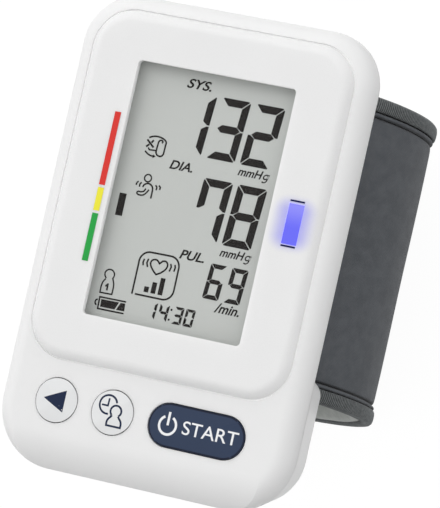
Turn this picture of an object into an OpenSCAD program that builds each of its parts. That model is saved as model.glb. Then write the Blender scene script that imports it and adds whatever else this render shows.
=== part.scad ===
// Wrist blood pressure monitor: a display unit carried on a preformed wrist cuff.
// X runs to the right of the display, Y towards its top, Z out of it.
// The cuff's flat underside lies on z = 0, and x = y = 0 is under the middle of the case.

/* [Case] */
// Width of the case
body_w = 58; // [57:0.5:61]
// Length of the case, from the button end to the far end
body_l = 88.6; // [87.5:0.1:92]
// Corner radius of the case at the far end
corner_far_r = 10; // [9.5:0.1:11.5]
// Corner radius of the case at the button end
corner_near_r = 11.5; // [10:0.1:12]
// Rounding of the front edge along the sides and the far end
edge_r = 3.2; // [2.5:0.1:3.6]
// Radius of the long round fall of the front face at the button end
chin_r = 9; // [8:0.1:12]
// How far the front face has fallen at the button end
chin_drop = 3.3; // [2.6:0.1:3.8]
// Thickness of the front wall
face_wall = 1.8; // [1.6:0.1:1.9]
// Thickness of the side walls
side_wall = 1.6; // [1.2:0.1:1.8]
// Thickness of the rear walls
rear_wall = 1.4; // [1.2:0.1:1.6]
// Inward slope of the rear case's sides, per millimetre of depth
rear_slope = 0.45; // [0.4:0.01:0.5]
// Inward slope of the rear case at the far end, per millimetre of depth
far_slope = 0.78; // [0.7:0.01:0.85]
// Rounding of the rear case's long edges
rear_edge_r = 3.5; // [3:0.1:4]
// Inward slope of the battery housing's sides, per millimetre of depth
housing_slope = 0.2; // [0.15:0.01:0.24]
// Rounding of the battery housing's rear edge
housing_edge_r = 3; // [2:0.1:3.2]
// Corner radius of the battery housing beside the cuff
housing_corner_r = 5; // [5:0.1:6.5]

/* [Face panel] */
// Distance from the side of the case to the seam round the panel
seam_side = 3; // [2.8:0.1:3.4]
// Distance from the far end of the case to the seam
seam_far = 2.9; // [2.8:0.1:3.6]
// Distance from the button end of the case to the seam
seam_near = 20.1; // [19.6:0.1:20.6]
// Corner radius of the panel
panel_corner_r = 7.8; // [7:0.1:9]
// Height of the panel above the case's front
panel_rise = 1.4; // [1:0.1:1.6]
// Rounding of the panel's rim
panel_rim_r = 2.2; // [1.8:0.1:2.4]
// Depth of the panel's seat in the front wall
panel_seat = 0.9; // [0.8:0.05:1]
// Width of the seam line
seam_gap = 0.12; // [0.1:0.01:0.3]
// Width of the display opening
window_w = 31.4; // [29:0.1:32]
// Distance from the far side of the panel to the display opening
window_from_far = 9.1; // [8.5:0.1:12.5]
// Distance from the display opening down to the button row
window_above_keys = 16.5; // [16.2:0.1:17.5]
// Depth of the window pane below the panel's front
window_recess = 1.2; // [1:0.05:1.3]
// Thickness of the window pane
pane_t = 1; // [0.8:0.1:1.1]
// Width of the status light
light_w = 2.9; // [2:0.1:3]
// Height of the status light
light_h = 7.4; // [5:0.1:9]
// Distance from the display opening to the status light's middle
light_from_window = 4.9; // [4.7:0.1:5.1]
// Distance of the status light's middle above the window's middle
light_up = -0.25; // [-3:0.05:3]

/* [Buttons] */
// Distance of the button row from the button end of the case
key_row = 12.6; // [12:0.1:13]
// Radius of the round buttons
round_key_r = 4.05; // [3.5:0.05:4.2]
// Place of the memory button across the case
memory_x = -17.35; // [-18:0.05:-15.6]
// Place of the clock button across the case
clock_x = -6.05; // [-6.5:0.05:-5]
// Place of the start button across the case
start_x = 10.7; // [10:0.1:12]
// Length of the start button
start_w = 18.9; // [17:0.1:20]
// Width of the start button
start_h = 7.9; // [7:0.1:8.2]
// Gap round each button
key_gap = 0.18; // [0.12:0.01:0.25]
// Height of the buttons above the case's front
key_rise = 0.4; // [0.2:0.05:0.6]
// Travel of the buttons
key_travel = 0.4; // [0.25:0.05:0.45]

/* [Inside] */
// Height of the circuit board's top below the case's front
board_depth = 4.2; // [4.1:0.05:4.5]
// Thickness of the circuit board
board_t = 0.8; // [0.8:0.1:1]
// Diameter of the air pump
pump_d = 10.6; // [10:0.1:10.8]
// Length of the pump's motor
motor_l = 14; // [12:0.5:15]
// Distance from the battery housing to the air line
air_from_housing = 22.7; // [22.6:0.1:24]
// Outer diameter of the air tubes
tube_d = 3.2; // [2.8:0.1:3.4]
// Bore of the air tubes
tube_bore = 2; // [1.6:0.1:2.2]

/* [Battery] */
// Diameter of a battery cell
cell_d = 10.5; // [10.2:0.1:10.6]
// Length of a battery cell with its nub
cell_l = 44.5; // [44:0.1:45]
// Gap between the two cells
cell_gap = 0.1; // [0.1:0.05:0.2]
// Thickness of the battery cover
cover_t = 1.2; // [1:0.1:1.3]
// Gap round the battery cover
cover_gap = 0.15; // [0.1:0.01:0.2]

/* [Cuff] */
// Width of the cuff's outline across the wrist
cuff_w = 56; // [54:0.5:57]
// Height of the cuff's outline before its underside is flattened
cuff_h = 50; // [48.5:0.5:52]
// Radius of the cuff's outline at its two sides
cuff_end_r = 22; // [21:0.1:23]
// How much the underside is flattened where the cuff rests
cuff_flat = 1.2; // [1:0.1:1.6]
// Width of the cuff along the arm
cuff_l = 57.2; // [56:0.1:60]
// Distance from the far end of the case to the cuff's far rim
cuff_from_far = 9.5; // [9.1:0.1:9.9]
// Lean of the cuff's two rims, in degrees
cuff_lean = 4.6; // [3:0.1:5]
// Depth of the case over the middle of the cuff
saddle_depth = 13.6; // [13.5:0.1:14]
// Thickness of the outer fabric
fabric_t = 1; // [0.8:0.1:1.2]
// Thickness of the preformed plastic curler
curler_t = 1; // [0.8:0.1:1.2]
// Thickness of the foam padding
foam_t = 2.2; // [2:0.1:2.4]
// Thickness of the flat air bladder
bladder_t = 1.5; // [1.3:0.1:1.8]
// Thickness of the lining
lining_t = 0.7; // [0.6:0.1:1]
// Width of the tape that binds the rims
binding_w = 2.6; // [2.2:0.1:3]
// How far the binding stands out from the fabric
binding_proud = 0.5; // [0.3:0.1:0.5]
// Angle where the cuff's fixed end stops, at its left side
gap_start = 182; // [180:1:184]
// Angle where the cuff's far end stops, below the fixed end
gap_end = 206; // [200:1:207]
// Angle of the strap's tip
strap_tip = 144; // [144:1:150]
// Angle of the line about which the strap peels open
strap_root = 212; // [210:1:213]
// Thickness of the strap
strap_t = 1.8; // [1.4:0.1:2]
// Thickness of the hook tape inside the strap
hook_t = 0.55; // [0.4:0.05:0.6]

/* [Hidden] */

$fn = 96;
// Reach of the blocks that cut or keep a region
reach = 120;
// Running clearance round a small shaft or plunger
running_gap = 0.04;
// Room left between parts that don't touch
free_gap = 0.3;
// Room round a screw, a flange or a seated part
hole_room = 0.2;
// Depth by which joined forms run into each other
overlap = 0.05;
// Widths of the swept edges of the front case, the panel, the rear case and the housing
front_band = 7;
panel_band = 7;
tub_band = 18;
housing_band = 12;

// Heights below the case's front
board_under = board_depth + board_t;
parting = board_under;
front_hollow_inset = side_wall + 0.2;
inner_edge_r = 0.4;
ceiling_t = 0.6;
cell_room = 0.1;
cell_depth = parting + cell_room + ceiling_t + cell_room + cell_d / 2;
housing_depth = cell_depth + cell_d / 2 + cell_room + cover_t;
cover_top = housing_depth - cover_t;

// Height of the case's front and of the cuff's middle above the floor
cuff_z = cuff_h / 2 - cuff_flat;
face_z = cuff_z + cuff_h / 2 + saddle_depth;

// Ends of the case, and the middle of its two halves
near_y = -body_l / 2;
far_y = body_l / 2;

// Middle of the cuff along the case
cuff_y = far_y - cuff_from_far - cuff_l / 2;

// Panel outline
panel_x = body_w / 2 - seam_side;
panel_far = far_y - seam_far;
panel_near = near_y + seam_near;

// Rows of keys, window and light
key_y = near_y + key_row;
window_near = key_y + window_above_keys;
window_far = panel_far - window_from_far;
window_mid = (window_near + window_far) / 2;
light_x = window_w / 2 + light_from_window;
light_y = window_mid + light_up;
led_w = 1.8;
led_l = 3.2;
led_h = 0.8;
window_corner_r = 0.8;
pane_lap = 1.3;
lcd_margin = 1.55;
lcd_top = panel_seat;
lcd_t = 1.8;
lcd_corner_r = 0.4;
frame_wall = 1.2;
frame_corner_r = 1;
frame_ledge = 4;
frame_x = window_w / 2 + lcd_margin + frame_wall;
frame_near = window_near - lcd_margin - frame_wall;
frame_far = window_far + lcd_margin + frame_wall;
strip_w = 2;
strip_inset = 0.6;
pane_corner_r = 1.2;

// Key caps below the front
flange_lip = 0.6;
flange_t = 0.5;
flange_top = face_wall + 0.1;
stem_end = flange_top + flange_t + 0.5;
stem_r = 1.4;
key_dome_r = 22;
start_dome_r = 120;
switch_w = 4.5;
switch_top = stem_end + key_travel;
plunger_r = 0.9;
plunger_l = 0.85;

// Battery housing and its cells. The near cell's ends stay inside the housing's round corners.
housing_wall = 1;
housing_inset = housing_slope * (cell_depth - parting) + housing_wall + cell_room;
cell_corner_x = cell_l / 2 - body_w / 2 + corner_near_r;
cell_corner_y = sqrt((corner_near_r - housing_inset) ^ 2 - cell_corner_x ^ 2);
cell_near_y = near_y + corner_near_r - cell_corner_y + cell_d / 2;
cell_far_y = cell_near_y + cell_d + cell_gap;
housing_bottom_y = cell_far_y + cell_d / 2 + cell_room + housing_wall;
housing_far = housing_bottom_y + housing_slope * (housing_depth - parting);
compartment_near = cell_near_y - cell_d / 2 - cell_room;
compartment_far = cell_far_y + cell_d / 2 + cell_room;
contact_t = 0.4;
contact_w = 4.8;
nub_contact_w = 6.4;
nub_end_x = cell_l / 2 + contact_t;
// A spring's plate reaches out to the inside of the housing's round corner
contact_inset = housing_slope * (cell_depth + contact_w / 2 - parting) + housing_wall + cell_room;
contact_corner_y = corner_near_r - (cell_near_y - near_y) + contact_w / 2;
spring_end_x = body_w / 2 - corner_near_r
    + sqrt((corner_near_r - contact_inset) ^ 2 - contact_corner_y ^ 2);
spring_l = spring_end_x - nub_end_x;
spring_wire_r = 0.2;
spring_foot_r = 2.2;
spring_tip_r = 1.6;
cover_half = cell_l / 2 + 0.6;
// The housing's rounding stops at the cover's opening
housing_fillet = min(housing_edge_r,
    body_w / 2 - housing_slope * (housing_depth - parting) - cover_half - cover_gap);
cover_ledge = 1.1;
rail_w = 0.6;
rail_root = 0.5;
rail_h = 0.7;
rail_near = 6;
rail_far = 2;
grip_grooves = 5;
grip_pitch = 1.4;
grip_groove_r = 0.35;
grip_w = 12;
nub_r = 1.9;
nub_h = 0.8;

// Air pump
pump_r = pump_d / 2;
pump_depth = board_under + free_gap + pump_r;
rear_inner_x = body_w / 2 - rear_slope * (pump_depth - parting) - side_wall * sqrt(1 + rear_slope ^ 2);
pump_x = rear_inner_x - (pump_r + free_gap) * sqrt(1 + rear_slope ^ 2);
head_l = 5.4;
diaphragm_t = 0.6;
pump_cover_l = 3.6;
air_y = housing_bottom_y + air_from_housing;
head_wall = 1.1;
head_bore_r = 1.5;
can_r = pump_r - 0.1;
can_wall = 0.5;
cap_t = 1.4;
cap_boss_r = 2.4;
cap_boss_h = 0.9;
shaft_r = 0.6;
rotor_r = 3.4;
rotor_slot_r = 0.9;
rotor_end_gap = 2.5;
rotor_l = motor_l - 2 * rotor_end_gap;
hub_r = 1.9;
hub_l = 1.6;
crank_offset = 1;
crank_r = 0.5;
crank_l = 1.1;
diaphragm_y = air_y + pump_cover_l / 2;
head_y = diaphragm_y + diaphragm_t;
hub_y = head_y + 1.6;
motor_y = head_y + head_l;
motor_end = motor_y + motor_l;
air_depth = board_under + 4.7;
nipple_r = tube_bore / 2;
tube_bore_r = nipple_r + 0.02;
nipple_bore_r = 0.45;
nipple_l = 3;

// Exhaust valve
valve_x = -pump_x;
valve_w = 8;
valve_h = 7.6;
valve_l = 11;
valve_wall = 0.8;
valve_far = air_y - 5.2;
valve_near = valve_far - valve_l;
valve_nipple_l = 2;
valve_coil_r = 2.7;
bobbin_t = 0.6;
coil_end_gap = 1.2;
armature_tail = 1.4;
armature_head_r = 1.9;
armature_head_t = 0.4;
valve_bore_r = 1.3;
valve_stroke = 0.8;
tube_bend_r = 3.5;

// Parts on the board's underside, each as width, length and height
board_x = body_w / 2 - side_wall - 1.4;
board_near_in = 3.2;
board_far_in = 9.2;
board_near_r = 9;
board_far_r = 3;
chip_size = [9, 9, 1];
chip_back = 17;
resistor_size = [1, 1.8, 0.6];
resistor_pitch = 2.4;
resistor_x = 12;
resistor_back = 20;
capacitor_size = [1.4, 2.4, 1];
capacitor_pitch = 2.2;
capacitor_x = 7;
capacitor_back = 20.5;
coil_size = [3.8, 8, 1.8];
coil_in = 4;
coil_on = 20;

// Air manifold
manifold_w = 8;
manifold_l = 7;
manifold_h = 3;
sensor_w = 7;
sensor_h = 1.8;
port_r = 1.2;
port_bore_r = 0.5;
port_l = 2.4;
buzzer_r = 5.5;
buzzer_h = 2.6;
buzzer_hole_r = 0.8;
buzzer_y = air_y + 14;

// Screws
screw_r = 0.9;
screw_head_r = 2;
screw_head_h = 0.9;
screw_end_room = 0.6;
cross_l = 2.2;
cross_w = 0.5;
cross_depth = 0.7;
boss_r = 2.6;
boss_end = board_under - hole_room;
board_rest = 0.6;
post_r = screw_head_r + hole_room + 1.1;
far_post_in = 9.5;
far_post_back = 5.9;
near_post_in = 6.2;
near_post_on = 2.3;
case_screw_spots = [for (side = [-1, 1]) each [
    [side * (body_w / 2 - far_post_in), far_y - far_post_back],
    [side * (body_w / 2 - near_post_in), housing_bottom_y + near_post_on]]];
case_screw_seat = board_under + 3;
case_screw_end = face_wall + 0.8;
plate_w = 24;
plate_near = housing_bottom_y + free_gap + 1.4;
plate_far = cuff_y + cuff_l / 2 - 5.6;
cuff_screw_x = 5;
cuff_screw_spots = [for (x = [-cuff_screw_x, cuff_screw_x], y = [plate_near + 7.8, plate_far - 3.4]) [x, y]];
cuff_boss_r = 2.2;
cuff_boss_top = 9.2;

// Cuff outline: two end circles met by two long arcs
cuff_end_x = cuff_w / 2 - cuff_end_r;
cuff_rise = cuff_h / 2 - cuff_end_r;
arc_shift = (cuff_end_x ^ 2 - cuff_rise ^ 2) / (2 * cuff_rise);
arc_r = cuff_h / 2 + arc_shift;
arc_link = arc_r - cuff_end_r;
plate_depth = fabric_t + curler_t;
bladder_depth = plate_depth + foam_t;
lining_depth = bladder_depth + bladder_t;
cuff_t = lining_depth + lining_t;
plate_t = foam_t - 0.1;
cuff_screw_seat = saddle_depth + plate_depth + 1.5;
cuff_nipple_r = 1.5;
cuff_nipple_bore_r = 0.8;
nipple_room_r = cuff_nipple_r + hole_room;
nipple_flange_r = 4;
nipple_flange_t = 0.6;
nipple_bottom = face_z - saddle_depth - bladder_depth - nipple_flange_t - free_gap;
plate_gap = 0.2;
saddle_gap = 0.1;
notch_room = 0.6;
binding_lift = 0.2;
binding_edge = 0.8;
strap_gap = 0.25;
anchor_span = [215, 232];
patch_in = 0.4;
strap_inner_r = cuff_end_r + strap_gap + hook_t;
strap_mid_r = strap_inner_r + strap_t / 2;
strap_corner_r = 9;
strap_inset = 0.6;
bead_inset = 1.5;
hook_inset = 4;

// Moves a child whose heights are measured down from the case's front to its place
module at_face() {
    translate([0, 0, face_z]) children();
}

// Moves a child drawn round the cuff's own middle to its place
module at_cuff() {
    translate([0, cuff_y, cuff_z]) children();
}

// Rectangle with one corner radius along its lower side and another along its upper side
module two_radius_rect(x, y0, y1, r0, r1) {
    mid = (y0 + y1) / 2;
    translate([-x + r0, y0]) square([2 * (x - r0), mid - y0]);
    translate([-x, y0 + r0]) square([2 * x, mid - y0 - r0]);
    translate([-x + r1, mid]) square([2 * (x - r1), y1 - mid]);
    translate([-x, mid]) square([2 * x, y1 - mid - r1]);
    for (side = [-1, 1]) {
        translate([side * (x - r0), y0 + r0]) circle(r0);
        translate([side * (x - r1), y1 - r1]) circle(r1);
    }
}

// Solid between two depths whose plan is a two-radius rectangle
module slab(x, y0, y1, r0, r1, top, bottom) {
    translate([0, 0, -bottom]) linear_extrude(bottom - top) two_radius_rect(x, y0, y1, r0, r1);
}

// Carries an edge profile round a two-radius rectangle. The profile has the wall at x = 0
// and reaches inwards to x = -band, where it is full from depth top to depth bottom.
module edge_sweep(x, y0, y1, r0, r1, band, top, bottom) {
    for (side = [0, 1]) mirror([side, 0, 0]) {
        translate([x - r1, y1 - r1, 0]) rotate_extrude(angle = 90) corner_profile(r1) children();
        translate([x - r0, y0 + r0, 0]) rotate([0, 0, -90]) rotate_extrude(angle = 90)
            corner_profile(r0) children();
        translate([x, y1 - r1, 0]) rotate([90, 0, 0]) linear_extrude(y1 - r1 - y0 - r0) children();
    }
    translate([-x + r1, y1, 0]) rotate([90, 0, 90]) linear_extrude(2 * (x - r1)) children();
    translate([x - r0, y0, 0]) rotate([90, 0, -90]) linear_extrude(2 * (x - r0)) children();
    translate([-x + band, y0 + band, -bottom])
        cube([2 * (x - band), y1 - y0 - 2 * band, bottom - top]);
}

// Half of a profile that a corner of radius r turns about its middle
module corner_profile(r) {
    intersection() {
        translate([r, 0]) children();
        translate([0, -reach]) square([2 * r, 2 * reach]);
    }
}

// Edge profile with a rounded front corner
module front_profile(r, band, bottom) {
    translate([-band, -bottom]) square([band, bottom - r]);
    translate([-band, -bottom]) square([band - r, bottom]);
    intersection() {
        translate([-r, -r]) circle(r);
        translate([-r, -r]) square(r);
    }
}

// Edge profile whose wall leans inwards with depth and ends in a rounded rear corner
module leaning_profile(slope, start, end, r, band) {
    lean = atan(slope);
    centre_z = end - r;
    centre_x = -slope * (centre_z - start) - r / cos(lean);
    polygon([[-band, -start], [0, -start],
        [centre_x + r * cos(lean), -centre_z - r * sin(lean)], [centre_x, -end], [-band, -end]]);
    translate([centre_x, -centre_z]) circle(r);
}

// Side view of the front case, with the long round fall at the button end
module chin_limit(inset) {
    r = chin_r - inset;
    run = sqrt(chin_r ^ 2 - (chin_r - chin_drop) ^ 2);
    centre_y = near_y + run;
    rotate([90, 0, 90]) linear_extrude(2 * reach, center = true) {
        translate([centre_y, -reach]) square([reach, reach - inset]);
        translate([centre_y, -chin_r]) circle(r);
        translate([centre_y - r, -reach]) square([2 * r, reach - chin_r]);
    }
}

// Outer form of the front case, or of the space inside it when inset is given
module front_form(inset, top) {
    intersection() {
        edge_sweep(body_w / 2 - inset, near_y + inset, far_y - inset, corner_near_r - inset,
            corner_far_r - inset, front_band, top, parting)
            translate([0, -top])
                front_profile(max(edge_r - inset, inner_edge_r), front_band, parting - top);
        chin_limit(top);
    }
}

// Half space that slopes the rear case away at the far end
module far_slope_limit(inset) {
    lean = atan(far_slope);
    translate([0, far_y, -parting]) rotate([-lean, 0, 0])
        translate([-reach, -2 * reach - inset, -reach]) cube([2 * reach, 2 * reach, 2 * reach]);
}

// Body of the rear case over the cuff
module rear_tub(inset, floor_inset) {
    intersection() {
        edge_sweep(body_w / 2 - inset * sqrt(1 + rear_slope ^ 2), near_y + inset, far_y - inset,
            corner_near_r - inset, corner_far_r - inset, tub_band, parting, housing_depth - floor_inset)
            leaning_profile(rear_slope, parting, housing_depth - floor_inset,
                rear_edge_r - floor_inset, tub_band);
        far_slope_limit(inset);
    }
}

// Body of the battery housing at the button end, or the space inside it when inset is given
module housing_form(inset) {
    edge_sweep(body_w / 2 - inset, near_y + inset, housing_far - inset, corner_near_r - inset,
        housing_corner_r - inset, housing_band, parting, housing_depth)
        leaning_profile(housing_slope, parting, housing_depth,
            max(housing_fillet - inset, inner_edge_r), housing_band);
}

// Space for a cell and its two contacts, its nub towards +X or -X
module cell_space(way, y0, y1) {
    left = way > 0 ? spring_end_x : nub_end_x;
    translate([-left, y0, -cover_top + cover_ledge])
        cube([nub_end_x + spring_end_x, y1 - y0, cover_top - cover_ledge - parting - cell_room - ceiling_t]);
}

// Cuff outline in the XZ plane, grown or shrunk by an even amount
module cuff_outline(grow) {
    tangent_x = cuff_end_x * (1 + (cuff_end_r + grow) / arc_link);
    intersection() {
        translate([0, -arc_shift]) circle(arc_r + grow);
        translate([0, arc_shift]) circle(arc_r + grow);
        translate([-tangent_x, -reach]) square([2 * tangent_x, 2 * reach]);
    }
    for (side = [-1, 1]) translate([side * cuff_end_x, 0]) circle(cuff_end_r + grow);
}

// Cuff outline with its underside flattened. The fabric rests on the floor, and what is
// grown beyond it stays just clear.
module resting_outline(grow) {
    flat = grow > 0 ? binding_lift : -grow;
    intersection() {
        cuff_outline(grow);
        translate([-reach, -cuff_h / 2 + cuff_flat + flat]) square([2 * reach, 2 * reach]);
    }
}

// Ring between two outlines, long enough for the rims to be cut from it
module cuff_ring(outer, inner) {
    at_cuff() rotate([90, 0, 0]) linear_extrude(2 * cuff_l, center = true) difference() {
        resting_outline(outer);
        resting_outline(inner);
    }
}

// Leaning slice of the cuff from one distance to another along the arm
module rim_slice(from, to) {
    at_cuff() rotate([-cuff_lean, 0, 0]) translate([-reach, from, -reach])
        cube([2 * reach, to - from, 2 * reach]);
}

// Wedge about the cuff's left end circle between two angles
module left_wedge(from, to) {
    at_cuff() translate([-cuff_end_x, 0, 0]) rotate([90, 0, 0])
        linear_extrude(4 * cuff_l, center = true)
            polygon([[0, 0], [reach * cos(from), reach * sin(from)],
                [reach * cos((from + to) / 2), reach * sin((from + to) / 2)],
                [reach * cos(to), reach * sin(to)]]);
}

// Space that the battery housing takes from the near rim under the case
module housing_notch() {
    at_face() translate([-body_w / 2, near_y, -housing_depth - notch_room])
        cube([body_w, housing_bottom_y + free_gap - near_y, housing_depth]);
}

// One layer of the cuff, open at the left where the strap closes it
module cuff_layer(outer, inner, edge) {
    difference() {
        intersection() {
            cuff_ring(outer, inner);
            rim_slice(-cuff_l / 2 + edge, cuff_l / 2 - edge);
        }
        left_wedge(gap_start, gap_end);
        housing_notch();
    }
}

// Folded tape over one rim, with a channel that takes the cuff's layers
module rim_binding(from, to, channel_from, channel_to) {
    difference() {
        intersection() {
            cuff_ring(binding_proud, -cuff_t - binding_proud);
            rim_slice(from, to);
        }
        intersection() {
            cuff_ring(0, -cuff_t);
            rim_slice(channel_from, channel_to);
        }
        left_wedge(gap_start, gap_end);
        housing_notch();
    }
}

// Hole for the air nipple through the saddle and the cuff's layers
module nipple_hole(r) {
    at_face() translate([0, air_y, -saddle_depth - cuff_t]) cylinder(r = r, h = cuff_t + 6);
}

// Holes for the screws that hold the cuff
module cuff_screw_holes(r) {
    at_face() for (spot = cuff_screw_spots) translate([spot[0], spot[1], -saddle_depth - cuff_t])
        cylinder(r = r, h = cuff_t + 4);
}

// Footprint of the plate that clamps the cuff to the case
module plate_block(grow) {
    translate([-plate_w / 2 - grow, plate_near - grow, cuff_z])
        cube([plate_w + 2 * grow, plate_far - plate_near + 2 * grow, cuff_h]);
}

// Plan of a key: a round or a long one, grown by an even amount
module key_plan(w, h, grow) {
    r = h / 2 + grow;
    for (side = [-1, 1]) translate([side * (w - h) / 2, 0]) circle(r);
    if (w > h) square([w - h, 2 * r], center = true);
}

// Key cap with a domed top, a retaining flange behind the front wall and a stem to the switch
module key_cap(x, w, h, end_dome_r) {
    at_face() translate([x, key_y, 0]) {
        intersection() {
            translate([0, 0, -flange_top]) linear_extrude(flange_top + key_rise) key_plan(w, h, 0);
            translate([0, 0, key_rise - key_dome_r]) rotate([0, 90, 0])
                cylinder(r = key_dome_r, h = reach, center = true);
            translate([0, 0, key_rise - end_dome_r]) rotate([90, 0, 0])
                cylinder(r = end_dome_r, h = reach, center = true);
        }
        translate([0, 0, -flange_top - flange_t]) linear_extrude(flange_t + overlap)
            key_plan(w, h, flange_lip);
        translate([0, 0, -stem_end]) cylinder(r = stem_r, h = stem_end - flange_top);
    }
}

module key_hole(x, w, h) {
    translate([x, key_y, -face_wall - 1]) linear_extrude(face_wall + 3) key_plan(w, h, key_gap);
}

module all_key_holes() {
    key_hole(memory_x, 2 * round_key_r, 2 * round_key_r);
    key_hole(clock_x, 2 * round_key_r, 2 * round_key_r);
    key_hole(start_x, start_w, start_h);
}

// Plunger of a switch under a key
module switch_plunger(x) {
    at_face() translate([x, key_y, -stem_end - plunger_l]) cylinder(r = plunger_r, h = plunger_l);
}

// Body of a switch on the board
module switch_base(x) {
    at_face() translate([x, key_y, -board_depth]) difference() {
        translate([-switch_w / 2, -switch_w / 2, 0]) cube([switch_w, switch_w, board_depth - switch_top]);
        translate([0, 0, -1]) cylinder(r = plunger_r + running_gap, h = 4);
    }
}

module front_case() {
    color("whitesmoke") at_face() difference() {
        union() {
            difference() {
                front_form(0, 0);
                front_form(front_hollow_inset, face_wall);
            }
            for (spot = case_screw_spots) translate([spot[0], spot[1], 0]) {
                translate([0, 0, -boss_end]) cylinder(r = boss_r, h = boss_end - face_wall + overlap);
                translate([0, 0, -board_depth])
                    cylinder(r = boss_r + board_rest, h = board_depth - face_wall + overlap);
            }
        }
        slab(panel_x + seam_gap, panel_near - seam_gap, panel_far + seam_gap,
            panel_corner_r + seam_gap, panel_corner_r + seam_gap, -5, panel_seat);
        slab(frame_x + hole_room, frame_near - hole_room, frame_far + hole_room,
            frame_corner_r, frame_corner_r, 0, face_wall + 1);
        translate([light_x, light_y, -face_wall])
            cube([light_w + 2 * hole_room, light_h + 2 * hole_room, 2 * face_wall], center = true);
        all_key_holes();
        for (spot = case_screw_spots) translate([spot[0], spot[1], -parting - 1])
            cylinder(r = screw_r, h = parting + 1 - case_screw_end);
    }
}

module rear_case() {
    color("whitesmoke") difference() {
        union() {
            at_face() rear_tub(0, 0);
            at_face() housing_form(0);
        }
        // The saddle that sits on the cuff
        intersection() {
            union() {
                cuff_ring(saddle_gap, -cuff_h / 3);
                difference() {
                    cuff_ring(binding_proud + saddle_gap, -cuff_h / 3);
                    rim_slice(-cuff_l / 2 + binding_w + saddle_gap, cuff_l / 2 - binding_w - saddle_gap);
                }
            }
            at_face() translate([-reach, housing_bottom_y, -reach]) cube([2 * reach, reach, reach]);
        }
        // The space for the pump, the valve and the air line
        difference() {
            at_face() rear_tub(side_wall, rear_wall);
            at_cuff() rotate([90, 0, 0]) linear_extrude(4 * cuff_l, center = true)
                cuff_outline(saddle_gap + rear_wall);
            at_face() translate([-reach, -reach, -reach])
                cube([2 * reach, reach + housing_bottom_y + 0.1, reach]);
            for (spot = case_screw_spots) at_face() translate([spot[0], spot[1], -housing_depth])
                cylinder(r = post_r, h = housing_depth - board_under);
            at_face() for (spot = cuff_screw_spots) translate([spot[0], spot[1], -saddle_depth])
                cylinder(r = cuff_boss_r, h = saddle_depth - cuff_boss_top);
        }
        // The battery compartment, its opening and the seat of its cover
        at_face() {
            intersection() {
                housing_form(housing_wall);
                union() {
                    cell_space(1, compartment_near, cell_near_y + cell_d / 2);
                    cell_space(-1, cell_near_y + cell_d / 2, compartment_far);
                    translate([-cover_half - cover_gap, compartment_near, -housing_depth - 1])
                        cube([2 * (cover_half + cover_gap), compartment_far - compartment_near,
                            housing_depth - cover_top + cover_ledge + 1.1]);
                }
            }
            translate([-cover_half - cover_gap, -reach, -housing_depth - 1])
                cube([2 * (cover_half + cover_gap), reach + compartment_far, 1 + cover_t + overlap]);
            for (side = [0, 1]) mirror([side, 0, 0])
                translate([cover_half - rail_root - cover_gap, -reach, -cover_top - cover_gap])
                    cube([rail_root + rail_w + 2 * cover_gap, reach + compartment_far,
                        rail_h + 2 * cover_gap]);
        }
        // Screw holes and head recesses
        at_face() for (spot = case_screw_spots) translate([spot[0], spot[1], 0]) {
            translate([0, 0, -case_screw_seat - reach]) cylinder(r = screw_head_r + hole_room, h = reach);
            translate([0, 0, -case_screw_seat - 1]) cylinder(r = screw_r + hole_room, h = 8);
        }
        at_face() for (spot = cuff_screw_spots) translate([spot[0], spot[1], -saddle_depth - 2])
            cylinder(r = screw_r, h = saddle_depth + 2 - cuff_boss_top + 1);
        nipple_hole(nipple_room_r);
    }
}

module face_panel() {
    color("whitesmoke") at_face() difference() {
        translate([0, 0, panel_rise]) edge_sweep(panel_x, panel_near, panel_far, panel_corner_r,
            panel_corner_r, panel_band, 0, panel_rise + panel_seat)
            front_profile(panel_rim_r, panel_band, panel_rise + panel_seat);
        slab(window_w / 2, window_near, window_far, window_corner_r, window_corner_r, -5, 5);
        slab(window_w / 2 + pane_lap + overlap, window_near - pane_lap - overlap,
            window_far + pane_lap + overlap, pane_corner_r, pane_corner_r, window_recess - panel_rise, 5);
        translate([light_x, light_y, 0])
            cube([light_w + 2 * overlap, light_h + 2 * overlap, 10], center = true);
    }
}

module display_window() {
    color("lightcyan", 0.4) at_face() slab(window_w / 2 + pane_lap, window_near - pane_lap,
        window_far + pane_lap, pane_corner_r, pane_corner_r, window_recess - panel_rise,
        window_recess - panel_rise + pane_t);
}

module status_light_pipe() {
    color("slateblue") at_face() translate([light_x, light_y, 0]) {
        translate([-light_w / 2, -light_h / 2, -face_wall]) cube([light_w, light_h, face_wall + panel_rise]);
        translate([-led_w / 2, -led_l / 2, -board_depth + led_h + free_gap])
            cube([led_w, led_l, board_depth - led_h - free_gap - face_wall]);
    }
}

module memory_button() {
    color("gainsboro") key_cap(memory_x, 2 * round_key_r, 2 * round_key_r, key_dome_r);
}

module clock_button() {
    color("gainsboro") key_cap(clock_x, 2 * round_key_r, 2 * round_key_r, key_dome_r);
}

module start_button() {
    color("darkslateblue") key_cap(start_x, start_w, start_h, start_dome_r);
}

module memory_switch_plunger() {
    color("dimgray") switch_plunger(memory_x);
}

module clock_switch_plunger() {
    color("dimgray") switch_plunger(clock_x);
}

module start_switch_plunger() {
    color("dimgray") switch_plunger(start_x);
}

module switch_bases() {
    color("silver") for (x = [memory_x, clock_x, start_x]) switch_base(x);
}

module main_board() {
    color("seagreen") at_face() difference() {
        slab(board_x, near_y + board_near_in, far_y - board_far_in, board_near_r, board_far_r,
            board_depth, board_under);
        for (spot = case_screw_spots) translate([spot[0], spot[1], -board_under - 1])
            cylinder(r = boss_r + hole_room, h = 2 + board_t);
    }
}

module control_chip() {
    color("darkslategray") at_face()
        translate([-chip_size[0] / 2, air_y - chip_back, -board_under - chip_size[2]]) cube(chip_size);
}

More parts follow.
